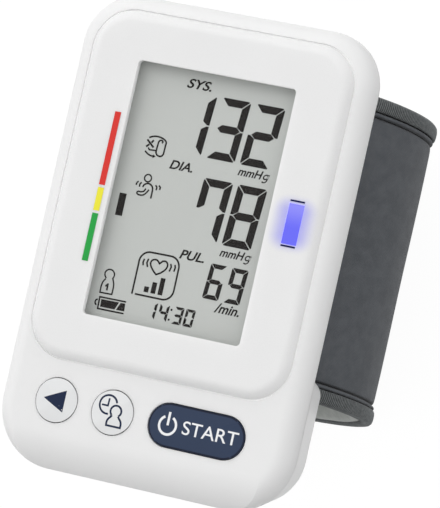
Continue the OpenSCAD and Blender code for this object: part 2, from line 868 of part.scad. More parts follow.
module board_parts() {
    color("tan") at_face() {
        for (row = [0:3]) translate([-resistor_x + resistor_pitch * row, air_y - resistor_back,
            -board_under - resistor_size[2]]) cube(resistor_size);
        for (row = [0:2]) translate([capacitor_x + capacitor_pitch * row, air_y - capacitor_back,
            -board_under - capacitor_size[2]]) cube(capacitor_size);
        translate([-board_x + coil_in, air_y + coil_on, -board_under - coil_size[2]]) cube(coil_size);
    }
}

module status_led() {
    color("lightyellow") at_face() translate([light_x - led_w / 2, light_y - led_l / 2, -board_depth])
        cube([led_w, led_l, led_h]);
}

module lcd_glass() {
    color("darkseagreen") at_face() slab(window_w / 2 + lcd_margin, window_near - lcd_margin,
        window_far + lcd_margin, lcd_corner_r, lcd_corner_r, lcd_top, lcd_top + lcd_t);
}

module lcd_frame() {
    color("white") at_face() difference() {
        slab(frame_x, frame_near, frame_far, frame_corner_r, frame_corner_r, lcd_top, board_depth);
        slab(frame_x - frame_wall, frame_near + frame_wall, frame_far - frame_wall, lcd_corner_r,
            lcd_corner_r, -5, lcd_top + lcd_t);
        slab(frame_x - frame_ledge, frame_near + frame_wall + strip_inset - hole_room,
            frame_far - frame_wall - strip_inset + hole_room, hole_room, hole_room, 0, board_depth + 1);
    }
}

module lcd_connector_strips() {
    color("dimgray") at_face() for (y = [frame_near + frame_wall + strip_inset,
            frame_far - frame_wall - strip_inset - strip_w])
        translate([-window_w / 2 + strip_w, y, -board_depth])
            cube([window_w - 2 * strip_w, strip_w, board_depth - lcd_top - lcd_t]);
}

module buzzer() {
    color("black") at_face() translate([0, buzzer_y, -board_under - buzzer_h]) difference() {
        cylinder(r = buzzer_r, h = buzzer_h);
        translate([0, 0, -1]) cylinder(r = buzzer_hole_r, h = 2);
    }
}

module pressure_sensor() {
    color("gainsboro") at_face() translate([0, air_y, -board_under]) difference() {
        union() {
            translate([-sensor_w / 2, -sensor_w / 2, -sensor_h]) cube([sensor_w, sensor_w, sensor_h]);
            translate([0, 0, -sensor_h - port_l]) cylinder(r = port_r, h = port_l + overlap);
        }
        translate([0, 0, -sensor_h - port_l - 1]) cylinder(r = port_bore_r, h = port_l + 1.5);
    }
}

module air_manifold() {
    color("ivory") at_face() translate([0, air_y, -air_depth]) difference() {
        union() {
            translate([-manifold_w / 2, -manifold_l / 2, -manifold_h / 2])
                cube([manifold_w, manifold_l, manifold_h]);
            rotate([0, 90, 0]) cylinder(r = nipple_r, h = manifold_w + 2 * nipple_l, center = true);
        }
        rotate([0, 90, 0]) cylinder(r = nipple_bore_r, h = manifold_w + 2 * nipple_l + 2, center = true);
        cylinder(r = port_r + overlap, h = manifold_h);
        translate([0, 0, -manifold_h]) cylinder(r = cuff_nipple_r + overlap, h = manifold_h);
    }
}

module cuff_air_nipple() {
    length = face_z - air_depth - manifold_h / 6 - nipple_bottom;
    color("ivory") translate([0, air_y, nipple_bottom]) difference() {
        union() {
            cylinder(r = cuff_nipple_r, h = length);
            cylinder(r = nipple_flange_r, h = nipple_flange_t);
        }
        translate([0, 0, -1]) cylinder(r = cuff_nipple_bore_r, h = length + 2);
    }
}

// Section of an air tube
module tube_section() {
    difference() {
        circle(d = tube_d);
        circle(tube_bore_r);
    }
}

module pump_tube() {
    from = manifold_w / 2 + hole_room;
    to = pump_x - pump_r - free_gap;
    color("lightgray") at_face() translate([from, air_y, -air_depth]) rotate([0, 90, 0])
        linear_extrude(to - from) tube_section();
}

module valve_tube() {
    from = manifold_w / 2 + hole_room;
    bend_x = valve_x + tube_bend_r;
    color("lightgray") at_face() translate([0, 0, -air_depth]) {
        translate([bend_x, air_y, 0]) rotate([0, 90, 0]) rotate([0, 0, 90])
            linear_extrude(-from - bend_x) tube_section();
        translate([bend_x, air_y - tube_bend_r, 0]) rotate([0, 0, 90]) rotate_extrude(angle = 90)
            translate([tube_bend_r, 0]) tube_section();
        translate([valve_x, air_y - tube_bend_r, 0]) rotate([90, 0, 0]) rotate([0, 0, 180])
            linear_extrude(air_y - tube_bend_r - valve_far - hole_room) tube_section();
    }
}

// Puts a child drawn along +Z on the pump's axis, starting at a place along the case
module on_pump_axis(y) {
    at_face() translate([pump_x, y, -pump_depth]) rotate([-90, 0, 0]) children();
}

module pump_motor_can() {
    color("silver") on_pump_axis(motor_y) difference() {
        cylinder(r = can_r, h = motor_l);
        translate([0, 0, can_wall]) cylinder(r = can_r - can_wall, h = motor_l);
        translate([0, 0, -1]) cylinder(r = shaft_r + running_gap, h = motor_l);
    }
}

module pump_motor_cap() {
    color("dimgray") on_pump_axis(motor_end - cap_t) difference() {
        union() {
            cylinder(r = can_r - can_wall - 0.02, h = cap_t);
            translate([0, 0, cap_t]) cylinder(r = cap_boss_r, h = cap_boss_h);
        }
        translate([0, 0, -1]) cylinder(r = shaft_r + running_gap, h = cap_t + cap_boss_h);
    }
}

module pump_rotor() {
    color("goldenrod") {
        on_pump_axis(hub_y) cylinder(r = shaft_r, h = motor_end - hole_room - hub_y);
        on_pump_axis(motor_y + rotor_end_gap) difference() {
            cylinder(r = rotor_r, h = rotor_l);
            for (turn = [0:120:240]) rotate([0, 0, turn]) translate([rotor_r, 0, -1])
                cylinder(r = rotor_slot_r, h = motor_l);
        }
        on_pump_axis(hub_y) cylinder(r = hub_r, h = hub_l);
        on_pump_axis(hub_y - crank_l) translate([crank_offset, 0, 0])
            cylinder(r = crank_r, h = crank_l + overlap);
    }
}

module pump_head() {
    color("ivory") on_pump_axis(head_y) difference() {
        cylinder(r = pump_r, h = head_l);
        translate([0, 0, -1]) cylinder(r = pump_r - head_wall, h = head_l);
        translate([0, 0, -1]) cylinder(r = head_bore_r, h = head_l + 2);
    }
}

module pump_diaphragm() {
    color("darkred") on_pump_axis(diaphragm_y) cylinder(r = pump_r, h = diaphragm_t);
}

module pump_cover() {
    color("ivory") {
        difference() {
            union() {
                on_pump_axis(diaphragm_y - pump_cover_l) cylinder(r = pump_r, h = pump_cover_l);
                at_face() translate([pump_x - pump_r - nipple_l, air_y, -air_depth])
                    rotate([0, 90, 0]) cylinder(r = nipple_r, h = nipple_l + 1);
            }
            at_face() translate([pump_x - pump_r - nipple_l - 1, air_y, -air_depth])
                rotate([0, 90, 0]) cylinder(r = nipple_bore_r, h = nipple_l + 4);
        }
    }
}

// Puts a child drawn along +Z on the valve's axis, starting at a place along the case
module on_valve_axis(y) {
    at_face() translate([valve_x, y, -air_depth]) rotate([-90, 0, 0]) children();
}

module valve_frame() {
    color("silver") difference() {
        union() {
            on_valve_axis(valve_near) translate([-valve_w / 2, -valve_h / 2, 0])
                cube([valve_w, valve_h, valve_l]);
            on_valve_axis(valve_far - overlap) cylinder(r = nipple_r, h = valve_nipple_l);
        }
        on_valve_axis(valve_near + valve_wall) translate([-valve_w / 2 - 1, -valve_h / 2 + valve_wall, 0])
            cube([valve_w + 2, valve_h - 2 * valve_wall, valve_l - 2 * valve_wall]);
        on_valve_axis(valve_near - 1) cylinder(r = valve_bore_r + running_gap, h = 3);
        on_valve_axis(valve_far - 2 * valve_wall) cylinder(r = nipple_bore_r, h = reach);
    }
}

module valve_coil() {
    span = valve_l - 2 * valve_wall - coil_end_gap;
    color("sienna") on_valve_axis(valve_near + valve_wall) difference() {
        union() {
            cylinder(r = valve_coil_r, h = span);
            for (end = [0, span - bobbin_t]) translate([0, 0, end])
                cylinder(r = valve_h / 2 - valve_wall, h = bobbin_t);
        }
        translate([0, 0, -1]) cylinder(r = valve_bore_r + running_gap, h = span + 2);
    }
}

module valve_plunger() {
    color("gray") on_valve_axis(valve_near - armature_tail) {
        cylinder(r = valve_bore_r, h = armature_tail + valve_l - valve_wall - valve_stroke - hole_room / 2);
        cylinder(r = armature_head_r, h = armature_head_t);
    }
}

module battery_cover() {
    color("whitesmoke") at_face() {
        difference() {
            intersection() {
                housing_form(0);
                translate([-cover_half, -reach, -reach])
                    cube([2 * cover_half, reach + compartment_far - cover_gap, reach - cover_top]);
            }
            for (groove = [0:grip_grooves - 1])
                translate([0, compartment_far - grip_pitch * (groove + 3), -housing_depth])
                    rotate([0, 90, 0]) cylinder(r = grip_groove_r, h = grip_w, center = true);
        }
        for (side = [0, 1]) mirror([side, 0, 0])
            translate([cover_half - rail_root, compartment_near + rail_near, -cover_top - overlap])
                cube([rail_root + rail_w, compartment_far - compartment_near - rail_near - rail_far,
                    rail_h + overlap]);
    }
}

// A battery cell lying across the case, its nub towards +X or -X
module battery_cell(y, way) {
    at_face() translate([-way * cell_l / 2, y, -cell_depth]) rotate([0, way * 90, 0]) {
        cylinder(d = cell_d, h = cell_l - nub_h);
        cylinder(r = nub_r, h = cell_l);
    }
}

module battery_cell_near() {
    color("dimgray") battery_cell(cell_near_y, 1);
}

module battery_cell_far() {
    color("dimgray") battery_cell(cell_far_y, -1);
}

// Points of a ring of wire at turn angle a on a conical coil
function wire_ring(a, turns, length, r0, r1, wire) =
    let (part = a / (360 * turns), r = r0 + (r1 - r0) * part, z = wire + (length - 2 * wire) * part)
    [for (k = [0:5]) let (arm = r + wire * cos(60 * k))
        [arm * cos(a), arm * sin(a), z + wire * sin(60 * k)]];

// Conical coil spring swept along its own helix
module coil_spring(turns, length, r0, r1, wire) {
    steps = turns * 12;
    points = [for (i = [0:steps]) each wire_ring(360 * turns * i / steps, turns, length, r0, r1, wire)];
    sides = [for (i = [0:steps - 1], k = [0:5]) let (a = 6 * i + k, b = 6 * i + (k + 1) % 6)
        [a, b, b + 6, a + 6]];
    ends = [[5, 4, 3, 2, 1, 0], [for (k = [0:5]) 6 * steps + k]];
    polyhedron(points, concat(sides, ends));
}

module battery_springs() {
    color("silver") at_face() {
        translate([-spring_end_x + contact_t, cell_near_y, -cell_depth]) rotate([0, 90, 0])
            coil_spring(2, spring_l, spring_foot_r, spring_tip_r, spring_wire_r);
        translate([spring_end_x - contact_t, cell_far_y, -cell_depth]) rotate([0, -90, 0])
            coil_spring(2, spring_l, spring_foot_r, spring_tip_r, spring_wire_r);
    }
}

module battery_contacts() {
    color("silver") at_face() for (way = [-1, 1]) {
        nub_y = way > 0 ? cell_near_y : cell_far_y;
        spring_y = way > 0 ? cell_far_y : cell_near_y;
        translate([way * (nub_end_x - contact_t / 2), nub_y, -cell_depth])
            cube([contact_t, nub_contact_w, nub_contact_w], center = true);
        translate([way * (spring_end_x - contact_t / 2), spring_y, -cell_depth])
            cube([contact_t, contact_w, contact_w], center = true);
    }
}

// Pan-head screw pointing up, its head's underside at z = 0
module screw(length) {
    cylinder(r = screw_r, h = length);
    difference() {
        translate([0, 0, -screw_head_h]) cylinder(r = screw_head_r, h = screw_head_h);
        for (turn = [0, 90]) rotate([0, 0, turn]) translate([0, 0, -screw_head_h])
            cube([cross_l, cross_w, 2 * cross_depth], center = true);
    }
}

module case_screws() {
    color("dimgray") at_face() for (spot = case_screw_spots)
        translate([spot[0], spot[1], -case_screw_seat]) screw(case_screw_seat - case_screw_end);
}

module cuff_plate() {
    color("gainsboro") difference() {
        intersection() {
            cuff_ring(-plate_depth, -plate_depth - plate_t);
            plate_block(0);
        }
        cuff_screw_holes(screw_r + hole_room);
        at_face() for (spot = cuff_screw_spots) translate([spot[0], spot[1], -cuff_screw_seat - 3])
            cylinder(r = screw_head_r + hole_room, h = 3);
        nipple_hole(nipple_room_r);
    }
}

module cuff_screws() {
    color("dimgray") at_face() for (spot = cuff_screw_spots)
        translate([spot[0], spot[1], -cuff_screw_seat])
            screw(cuff_screw_seat - cuff_boss_top - screw_end_room);
}

module cuff_fabric() {
    color("dimgray") difference() {
        cuff_layer(0, -fabric_t, binding_edge);
        cuff_screw_holes(screw_r + hole_room);
        nipple_hole(nipple_room_r);
    }
}

module cuff_curler() {
    color("gray") difference() {
        cuff_layer(-fabric_t, -plate_depth, binding_edge + 1);
        cuff_screw_holes(screw_r + hole_room);
        nipple_hole(nipple_room_r);
    }
}

module cuff_foam() {
    color("darkgray") difference() {
        cuff_layer(-plate_depth, -bladder_depth, binding_edge + 1);
        plate_block(plate_gap);
    }
}

module cuff_bladder() {
    color("lightsteelblue") difference() {
        cuff_layer(-bladder_depth, -lining_depth, binding_edge + 2);
        translate([0, air_y, nipple_bottom]) cylinder(r = nipple_flange_r + hole_room / 2, h = 3);
    }
}

module cuff_lining() {
    color("silver") cuff_layer(-lining_depth, -cuff_t, binding_edge);
}

module far_binding() {
    color("darkslategray") rim_binding(cuff_l / 2 - binding_w, cuff_l / 2,
        cuff_l / 2 - binding_w - 1, cuff_l / 2 - binding_edge);
}

module near_binding() {
    color("darkslategray") rim_binding(-cuff_l / 2, -cuff_l / 2 + binding_w,
        -cuff_l / 2 + binding_edge, -cuff_l / 2 + binding_w + 1);
}

module strap_anchor() {
    color("dimgray") intersection() {
        cuff_ring(strap_gap + hook_t + strap_t, 0);
        rim_slice(-cuff_l / 2 + binding_w + patch_in, cuff_l / 2 - binding_w - patch_in);
        left_wedge(anchor_span[0], anchor_span[1]);
    }
}

// Curved band of the strap between two angles and two radii
module strap_band(inner, outer, from, to) {
    at_cuff() translate([-cuff_end_x, 0, 0]) rotate([90, 0, 0]) linear_extrude(2 * cuff_l, center = true)
        intersection() {
            difference() {
                circle(outer);
                circle(inner);
            }
            polygon([[0, 0], [reach * cos(from), reach * sin(from)], [reach * cos(to), reach * sin(to)]]);
        }
}

// Outline of the strap seen from the left, with its two tip corners rounded
module strap_outline(inset, tip) {
    half = cuff_l / 2 - strap_inset - inset;
    low = -cuff_h / 2;
    high = strap_mid_r * sin(tip);
    r = strap_corner_r - inset;
    at_cuff() rotate([-cuff_lean, 0, 0]) rotate([90, 0, -90]) linear_extrude(reach) {
        translate([-half, low]) square([2 * half, high - r - low]);
        translate([-half + r, low]) square([2 * (half - r), high - low]);
        for (side = [-1, 1]) translate([side * (half - r), high - r]) circle(r);
    }
}

module strap() {
    color("dimgray") union() {
        intersection() {
            strap_band(strap_inner_r, strap_inner_r + strap_t, strap_tip, strap_root);
            strap_outline(0, strap_tip);
        }
        at_cuff() translate([-cuff_end_x + strap_mid_r * cos(strap_root), 0, strap_mid_r * sin(strap_root)])
            rotate([90, 0, 0])
                cylinder(d = strap_t - hole_room, h = cuff_l - 2 * (strap_inset + bead_inset), center = true);
    }
}

module strap_hook_tape() {
    color("black") intersection() {
        strap_band(strap_inner_r - hook_t, strap_inner_r, strap_tip + 3, gap_start - 3);
        strap_outline(hook_inset, strap_tip + 3);
    }
}

front_case();
rear_case();
face_panel();
display_window();
status_light_pipe();
memory_button();
clock_button();
start_button();
memory_switch_plunger();
clock_switch_plunger();
start_switch_plunger();
switch_bases();
main_board();
control_chip();
board_parts();
status_led();
lcd_glass();
lcd_frame();
lcd_connector_strips();
buzzer();
pressure_sensor();
air_manifold();
pump_tube();
valve_tube();
cuff_air_nipple();
pump_motor_can();
pump_motor_cap();
pump_rotor();
pump_head();
pump_diaphragm();
pump_cover();
valve_frame();
valve_coil();
valve_plunger();
battery_cover();
battery_cell_near();
battery_cell_far();
battery_springs();
battery_contacts();
case_screws();
cuff_plate();
cuff_screws();
cuff_fabric();
cuff_curler();
cuff_foam();
cuff_bladder();
cuff_lining();
far_binding();
near_binding();
strap_anchor();
strap();
strap_hook_tape();
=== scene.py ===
from math import atan2, ceil, cos, degrees, hypot, pi, radians, sin, sqrt, tan

import bpy
from mathutils import Matrix, Vector


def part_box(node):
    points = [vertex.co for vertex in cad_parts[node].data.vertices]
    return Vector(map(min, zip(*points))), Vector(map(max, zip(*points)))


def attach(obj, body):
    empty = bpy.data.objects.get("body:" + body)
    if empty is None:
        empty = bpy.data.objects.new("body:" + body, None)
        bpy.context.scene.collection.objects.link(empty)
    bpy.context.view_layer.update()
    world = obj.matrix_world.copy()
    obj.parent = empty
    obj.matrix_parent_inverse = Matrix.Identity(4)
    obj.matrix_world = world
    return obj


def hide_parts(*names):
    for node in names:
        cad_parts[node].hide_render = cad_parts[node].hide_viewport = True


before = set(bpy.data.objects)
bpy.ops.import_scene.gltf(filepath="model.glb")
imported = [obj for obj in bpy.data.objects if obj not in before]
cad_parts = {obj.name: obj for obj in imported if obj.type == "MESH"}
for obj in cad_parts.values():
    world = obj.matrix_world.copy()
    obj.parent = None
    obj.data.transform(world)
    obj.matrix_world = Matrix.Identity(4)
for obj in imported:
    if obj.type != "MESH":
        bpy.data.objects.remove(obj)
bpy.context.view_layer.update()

scene = bpy.context.scene
MM = 0.001

# The camera stands a little right of the display and above its top, as a hand-held product
# shot does, with a long lens and a slight roll.
CAMERA_LOOKS_AT = Vector((7.64, 0.51, 62.4)) * MM
CAMERA_DIRECTION = Vector((0.36568, -0.0436, 0.92972)).normalized()
CAMERA_DISTANCE = 767.7 * MM
CAMERA_ROLL = radians(12.68)
SENSOR_WIDTH, LENS = 36, 300.97

bpy.ops.object.select_all(action="DESELECT")
bpy.ops.object.camera_add()
camera = bpy.context.object
camera.name = "camera"
level_right = Vector((0, 1, 0)).cross(CAMERA_DIRECTION).normalized()
level_up = CAMERA_DIRECTION.cross(level_right)
camera_right = cos(CAMERA_ROLL) * level_right + sin(CAMERA_ROLL) * level_up
camera_up = cos(CAMERA_ROLL) * level_up - sin(CAMERA_ROLL) * level_right
turn = Matrix((camera_right, camera_up, CAMERA_DIRECTION)).transposed().to_4x4()
place = Matrix.Translation(CAMERA_LOOKS_AT + CAMERA_DIRECTION * CAMERA_DISTANCE)
camera.matrix_world = place @ turn
camera.data.sensor_width = SENSOR_WIDTH
camera.data.lens = LENS
camera.data.clip_start = 10 * MM
scene.camera = camera

# Plain studio: soft white light from all round, strongest half way up, at both sides and from
# the display's upper left, one large lamp there, and a pale floor that shows white and keeps a
# faint shadow.
WORLD_LEVEL = 0.13
WORLD_SLOPE = (-0.13, 0.36, 0)
BAND_LEVEL = 1.0
SIDE_LEVEL = 0.48
FLOOR_WHITE = (0.36, 0.36, 0.36, 1)
FLOOR_GLOW, FLOOR_SHARE = 1.3, 0.72
FLOOR_SIZE, FLOOR_Z = 6, -0.0002
LAMP_SPOT, LAMP_AIM = Vector((-0.5, 0.46, 0.72)), Vector((0, 0, 0.05))
LAMP_SIZE, LAMP_POWER = 0.5, 0.9


def fill(tree, socket, value):
    """Sets a socket to a value, or links it where the value is another node's output."""
    if isinstance(value, bpy.types.NodeSocket):
        tree.links.new(value, socket)
    else:
        socket.default_value = value


def add(tree, kind, *values, **settings):
    """Adds a shader node: values go to its sockets in their order, settings by name."""
    node = tree.nodes.new("ShaderNode" + kind)
    for name, value in settings.items():
        if hasattr(node, name):
            setattr(node, name, value)
        else:
            fill(tree, node.inputs[name.replace("_", " ")], value)
    for socket, value in zip(node.inputs, values):
        fill(tree, socket, value)
    return node


def maths(tree, operation, *values, kind="Math", **settings):
    """Output of a Math or VectorMath node."""
    node = add(tree, kind, *values, operation=operation, **settings)
    return node.outputs[1 if operation in ("DOT_PRODUCT", "LENGTH") else 0]


def mixed(tree, share, first, second, kind="RGBA", **settings):
    """Colour or number that goes from the first to the second by a share."""
    node = add(tree, "Mix", data_type=kind, **settings)
    k, out = (6, 2) if kind == "RGBA" else (2, 0)
    for socket, value in ((0, share), (k, first), (k + 1, second)):
        fill(tree, node.inputs[socket], value)
    return node.outputs[out]


def opened(material):
    """A material's node tree and its shader's sockets."""
    return material.node_tree, material.node_tree.nodes["Principled BSDF"].inputs


def plain(name, **sockets):
    """New material with values on its shader's own sockets."""
    material = bpy.data.materials.new(name)
    material.use_nodes = True
    for socket, value in sockets.items():
        opened(material)[1][socket.replace("_", " ")].default_value = value
    return material


def white_to_the_eye(tree):
    """1 for camera, glossy and transmission rays that have met no matt surface, else 0."""
    path = add(tree, "LightPath").outputs
    mirrored = maths(tree, "MAXIMUM", path["Is Glossy Ray"], path["Is Transmission Ray"])
    seen = maths(tree, "MAXIMUM", path["Is Camera Ray"], mirrored)
    return maths(tree, "MULTIPLY", seen, maths(tree, "LESS_THAN", path["Diffuse Depth"], 0.5))


world = bpy.data.worlds.new("studio")
scene.world = world
world.use_nodes = True
tree = world.node_tree
way = add(tree, "TexCoord").outputs["Generated"]
slope = maths(tree, "DOT_PRODUCT", way, WORLD_SLOPE, kind="VectorMath")
apart = add(tree, "SeparateXYZ", way).outputs
low = maths(tree, "SUBTRACT", 1, apart["Z"])
band = maths(tree, "MULTIPLY", low, apart["Z"], use_clamp=True)
glow = maths(tree, "MULTIPLY_ADD", band, 4 * BAND_LEVEL, WORLD_LEVEL)
square = maths(tree, "MULTIPLY", apart["X"], apart["X"])
sides = maths(tree, "MULTIPLY_ADD", square, SIDE_LEVEL, glow)
sky = maths(tree, "ADD", sides, slope)
background = tree.nodes["Background"].inputs
background["Color"].default_value = (1, 1, 1, 1)
tree.links.new(mixed(tree, white_to_the_eye(tree), sky, 1, kind="FLOAT"), background["Strength"])

bpy.ops.object.light_add(type="AREA", location=LAMP_SPOT)
lamp = bpy.context.object
lamp.name = "key_lamp"
lamp.data.shape = "DISK"
lamp.data.size = LAMP_SIZE
lamp.data.energy = LAMP_POWER
lamp.visible_glossy = False
lamp.rotation_euler = (LAMP_AIM - LAMP_SPOT).to_track_quat("-Z", "Y").to_euler()

bpy.ops.object.select_all(action="DESELECT")
bpy.ops.mesh.primitive_plane_add(size=FLOOR_SIZE, location=(0, 0, FLOOR_Z))
floor = bpy.context.object
floor.name = "floor"
floor_finish = plain("pale_floor", Base_Color=FLOOR_WHITE, Roughness=0.9, Specular_IOR_Level=0.1)
tree = floor_finish.node_tree
share = maths(tree, "MULTIPLY", white_to_the_eye(tree), FLOOR_SHARE)
blend = add(tree, "MixShader", share, tree.nodes["Principled BSDF"].outputs["BSDF"],
            add(tree, "Emission", Strength=FLOOR_GLOW).outputs["Emission"])
tree.links.new(blend.outputs["Shader"], tree.nodes["Material Output"].inputs["Surface"])
floor.data.materials.append(floor_finish)

# Case: two injection-moulded shells of white ABS with a fine satin grain, parted 5 mm below
# the front and screwed together from the rear; the battery cover is moulded in the same plastic.
CASE_WHITE = ("EEEEEE", "EBEBEB")
CASE_GLOW = {"Subsurface_Weight": 0.8, "Subsurface_Radius": (1, 1, 1), "Subsurface_Scale": MM}
GLOSS_CHANGE = 0.04


def colour(code):
    """Colour as the shader wants it, from a screen colour written as six hex digits."""
    parts = [int(code[k:k + 2], 16) / 255 for k in (0, 2, 4)]
    linear = [c / 12.92 if c <= 0.04045 else ((c + 0.055) / 1.055) ** 2.4 for c in parts]
    return (*linear, 1)


def effect(name, inputs, outputs):
    """Empty shader node group with named inputs and outputs."""
    group = bpy.data.node_groups.new(name, "ShaderNodeTree")
    for socket, kind, value in inputs:
        made = group.interface.new_socket(socket, in_out="INPUT", socket_type=kind)
        made.default_value = value
    for socket in outputs:
        group.interface.new_socket(socket, in_out="OUTPUT", socket_type="NodeSocketFloat")
    return (group, group.nodes.new("NodeGroupInput").outputs,
            group.nodes.new("NodeGroupOutput").inputs)


def span(tree, value, low, high, start=0, end=1, **settings):
    """Number from start to end, as a value goes from low to high."""
    return add(tree, "MapRange", value, low, high, start, end, **settings).outputs["Result"]


# Fine grain: the spark-eroded texture of a moulding tool, with a slow change of tone.
grain, given, wanted = effect(
    "fine_grain",
    (("Grain", "NodeSocketFloat", 5000), ("Cloud", "NodeSocketFloat", 90)), ("Height", "Tone"))
place = add(grain, "TexCoord").outputs["Object"]
for scale, out, detail, rough in (("Grain", "Height", 3, 0.6), ("Cloud", "Tone", 2, 0.5)):
    noise = add(grain, "TexNoise", place, Scale=given[scale], Detail=detail, Roughness=rough)
    grain.links.new(noise.outputs["Fac"], wanted[out])


def finish(name, tones, roughness, bump=0.02, grain_scale=5000, cloud_scale=90, **sockets):
    """Material of two close tones mixed by a cloud, with a grain that roughens and embosses."""
    material = plain(name, **sockets)
    tree, shader = opened(material)
    texture = add(tree, "Group", node_tree=grain, Grain=grain_scale, Cloud=cloud_scale).outputs
    tint = mixed(tree, texture["Tone"], colour(tones[0]), colour(tones[1]))
    tint.node.name = "tint"
    gloss = span(tree, texture["Height"], 0, 1, roughness - GLOSS_CHANGE,
                 roughness + GLOSS_CHANGE)
    emboss = add(tree, "Bump", Strength=0.5, Distance=bump * MM, Height=texture["Height"])
    emboss.name = "emboss"
    tree.links.new(tint, shader["Base Color"])
    tree.links.new(gloss, shader["Roughness"])
    tree.links.new(emboss.outputs["Normal"], shader["Normal"])
    return material


def wear(material, *node_names):
    """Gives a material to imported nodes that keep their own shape."""
    for name in node_names:
        piece = bpy.data.objects[name]
        piece.data.materials.clear()
        piece.data.materials.append(material)


case_finish = finish("moulded_white", CASE_WHITE, 0.3, bump=0.012, Specular_IOR_Level=0.15,
                     **CASE_GLOW)
wear(case_finish, "front_case", "rear_case", "battery_cover")

# Face panel: the same white plastic, moulded with a soft rim and laid into its seat. Round the
# status light a violet glow is painted into the plastic's colour, and its upright outer edge
# gives off painted light, an emission that lightens the narrow seam.
LIGHT_X, LIGHT_Y, LIGHT_W, LIGHT_H = 20.6, 8.3, 2.9, 7.4
PANEL_TOP = 63.8
PAINTED_GLOW_REACH, PAINTED_GLOW_SHARE, PAINTED_GLOW_COLOUR = 3.4, 0.75, "A9A8EC"
PAINTED_SEAM_LIGHT = 0.46

panel_finish = finish("moulded_panel", ("EDEDED", "EAEAEA"), 0.28, bump=0.008,
                      Specular_IOR_Level=0.3, Emission_Strength=PAINTED_SEAM_LIGHT, **CASE_GLOW)
tree, shader = opened(panel_finish)
place = add(tree, "TexCoord").outputs["Object"]
middle = (LIGHT_X * MM, LIGHT_Y * MM, PANEL_TOP * MM)
core = (LIGHT_W / 2 * MM, LIGHT_H * 0.3 * MM, 1)
offset = maths(tree, "SUBTRACT", place, middle, kind="VectorMath")
size = maths(tree, "ABSOLUTE", offset, kind="VectorMath")
outside = maths(tree, "SUBTRACT", size, core, kind="VectorMath")
clamped = maths(tree, "MAXIMUM", outside, kind="VectorMath")
distance = maths(tree, "LENGTH", clamped, kind="VectorMath")
# painted glow: the panel's colour turns violet round the status light
painted_glow = span(tree, distance, 0, PAINTED_GLOW_REACH * MM, PAINTED_GLOW_SHARE, 0, interpolation_type="SMOOTHSTEP")
glow_tinted_colour = mixed(tree, painted_glow, tree.nodes["tint"].outputs[2], colour(PAINTED_GLOW_COLOUR))
tree.links.new(glow_tinted_colour, shader["Base Color"])
# painted light: the outer edge, which stands upright and lies outside the window's opening, glows
# into the seam
normal = add(tree, "NewGeometry").outputs["True Normal"]
upright = span(tree, add(tree, "SeparateXYZ", normal).outputs["Z"], 0.35, 0.1)
apart = add(tree, "SeparateXYZ", place).outputs
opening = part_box("display_window")
past = []
for k in (0, 1):
    off = maths(tree, "SUBTRACT", apart[k], (opening[0][k] + opening[1][k]) / 2)
    half = (opening[1][k] - opening[0][k]) / 2
    past.append(maths(tree, "GREATER_THAN", maths(tree, "ABSOLUTE", off), half + 0.5 * MM))
edge = maths(tree, "MULTIPLY", upright, maths(tree, "MAXIMUM", *past))
tree.links.new(edge, shader["Emission Color"])
wear(panel_finish, "face_panel")

# Status light: a clear moulded pipe over a blue LED, lit. It sits in the panel's opening and
# turns paler towards its upper end.
light_finish = finish("lit_light_pipe", ("4748C6", "7C7ACB"), 0.25, bump=0.004,
                      Emission_Color=colour("7476F6"), Emission_Strength=0.4)
tree = light_finish.node_tree
apart = add(tree, "SeparateXYZ", add(tree, "TexCoord").outputs["Object"]).outputs
pale = span(tree, apart["Y"], (LIGHT_Y - 1) * MM, (LIGHT_Y + LIGHT_H / 2) * MM,
            interpolation_type="SMOOTHSTEP")
tree.links.new(pale, tree.nodes["tint"].inputs["Factor"])
wear(light_finish, "status_light_pipe", "status_led")

# Display pane: a clear acrylic sheet fixed under the panel, a millimetre below its front. Its
# faint smears show in its polish.
pane_finish = plain("clear_pane", Base_Color=(0.985, 0.99, 0.988, 1), Roughness=0.02, IOR=1.15,
                    Transmission_Weight=1)
tree, shader = opened(pane_finish)
smear = add(tree, "Group", node_tree=grain, Grain=700, Cloud=60).outputs["Tone"]
tree.links.new(span(tree, smear, 0, 1, 0.01, 0.05), shader["Roughness"])
wear(pane_finish, "display_window")
pane = bpy.data.objects["display_window"]
pane.visible_shadow = False
pane.visible_diffuse = False

# LCD: a sandwich of two glass sheets and a grey reflector, held in a white frame and joined to
# the circuit board by two rubber strips.
LCD_TOP = 61.5
lcd_finish = finish("lcd_reflector", ("C1C4C1", "BDBFBC"), 0.45, bump=0.004, grain_scale=9000)
wear(lcd_finish, "lcd_glass")

# LCD figures: seven-segment digits, signs and words, dark liquid crystal between the glasses.
# The segments lean three and a half degrees to the right.
INK = 0.02
LEAN, WORD_LEAN = tan(radians(3.5)), 0.28


def only(piece):
    """Makes a piece the one selected, active object."""
    bpy.ops.object.select_all(action="DESELECT")
    piece.select_set(True)
    bpy.context.view_layer.objects.active = piece


def settle(piece):
    """Applies a piece's place, turn and size to its mesh."""
    only(piece)
    bpy.ops.object.transform_apply(location=True, rotation=True, scale=True)


def flat_shape(name, outlines, z):
    """Closed outlines in millimetres, filled on the plane at height z and as thick as ink.
    An outline inside another is a hole."""
    curve = bpy.data.curves.new(name, "CURVE")
    curve.dimensions = "2D"
    curve.fill_mode = "BOTH"
    curve.extrude = INK / 2 * MM
    for outline in outlines:
        spline = curve.splines.new("POLY")
        spline.points.add(len(outline) - 1)
        for point, (x, y) in zip(spline.points, outline):
            point.co = (x * MM, y * MM, 0, 1)
        spline.use_cyclic_u = True
    piece = bpy.data.objects.new(name, curve)
    scene.collection.objects.link(piece)
    only(piece)
    bpy.ops.object.convert(target="MESH")
    piece = bpy.context.object
    piece.location.z = z * MM
    settle(piece)
    return piece


def rect(x0, x1, y0, y1):
    return [(x0, y0), (x1, y0), (x1, y1), (x0, y1)]


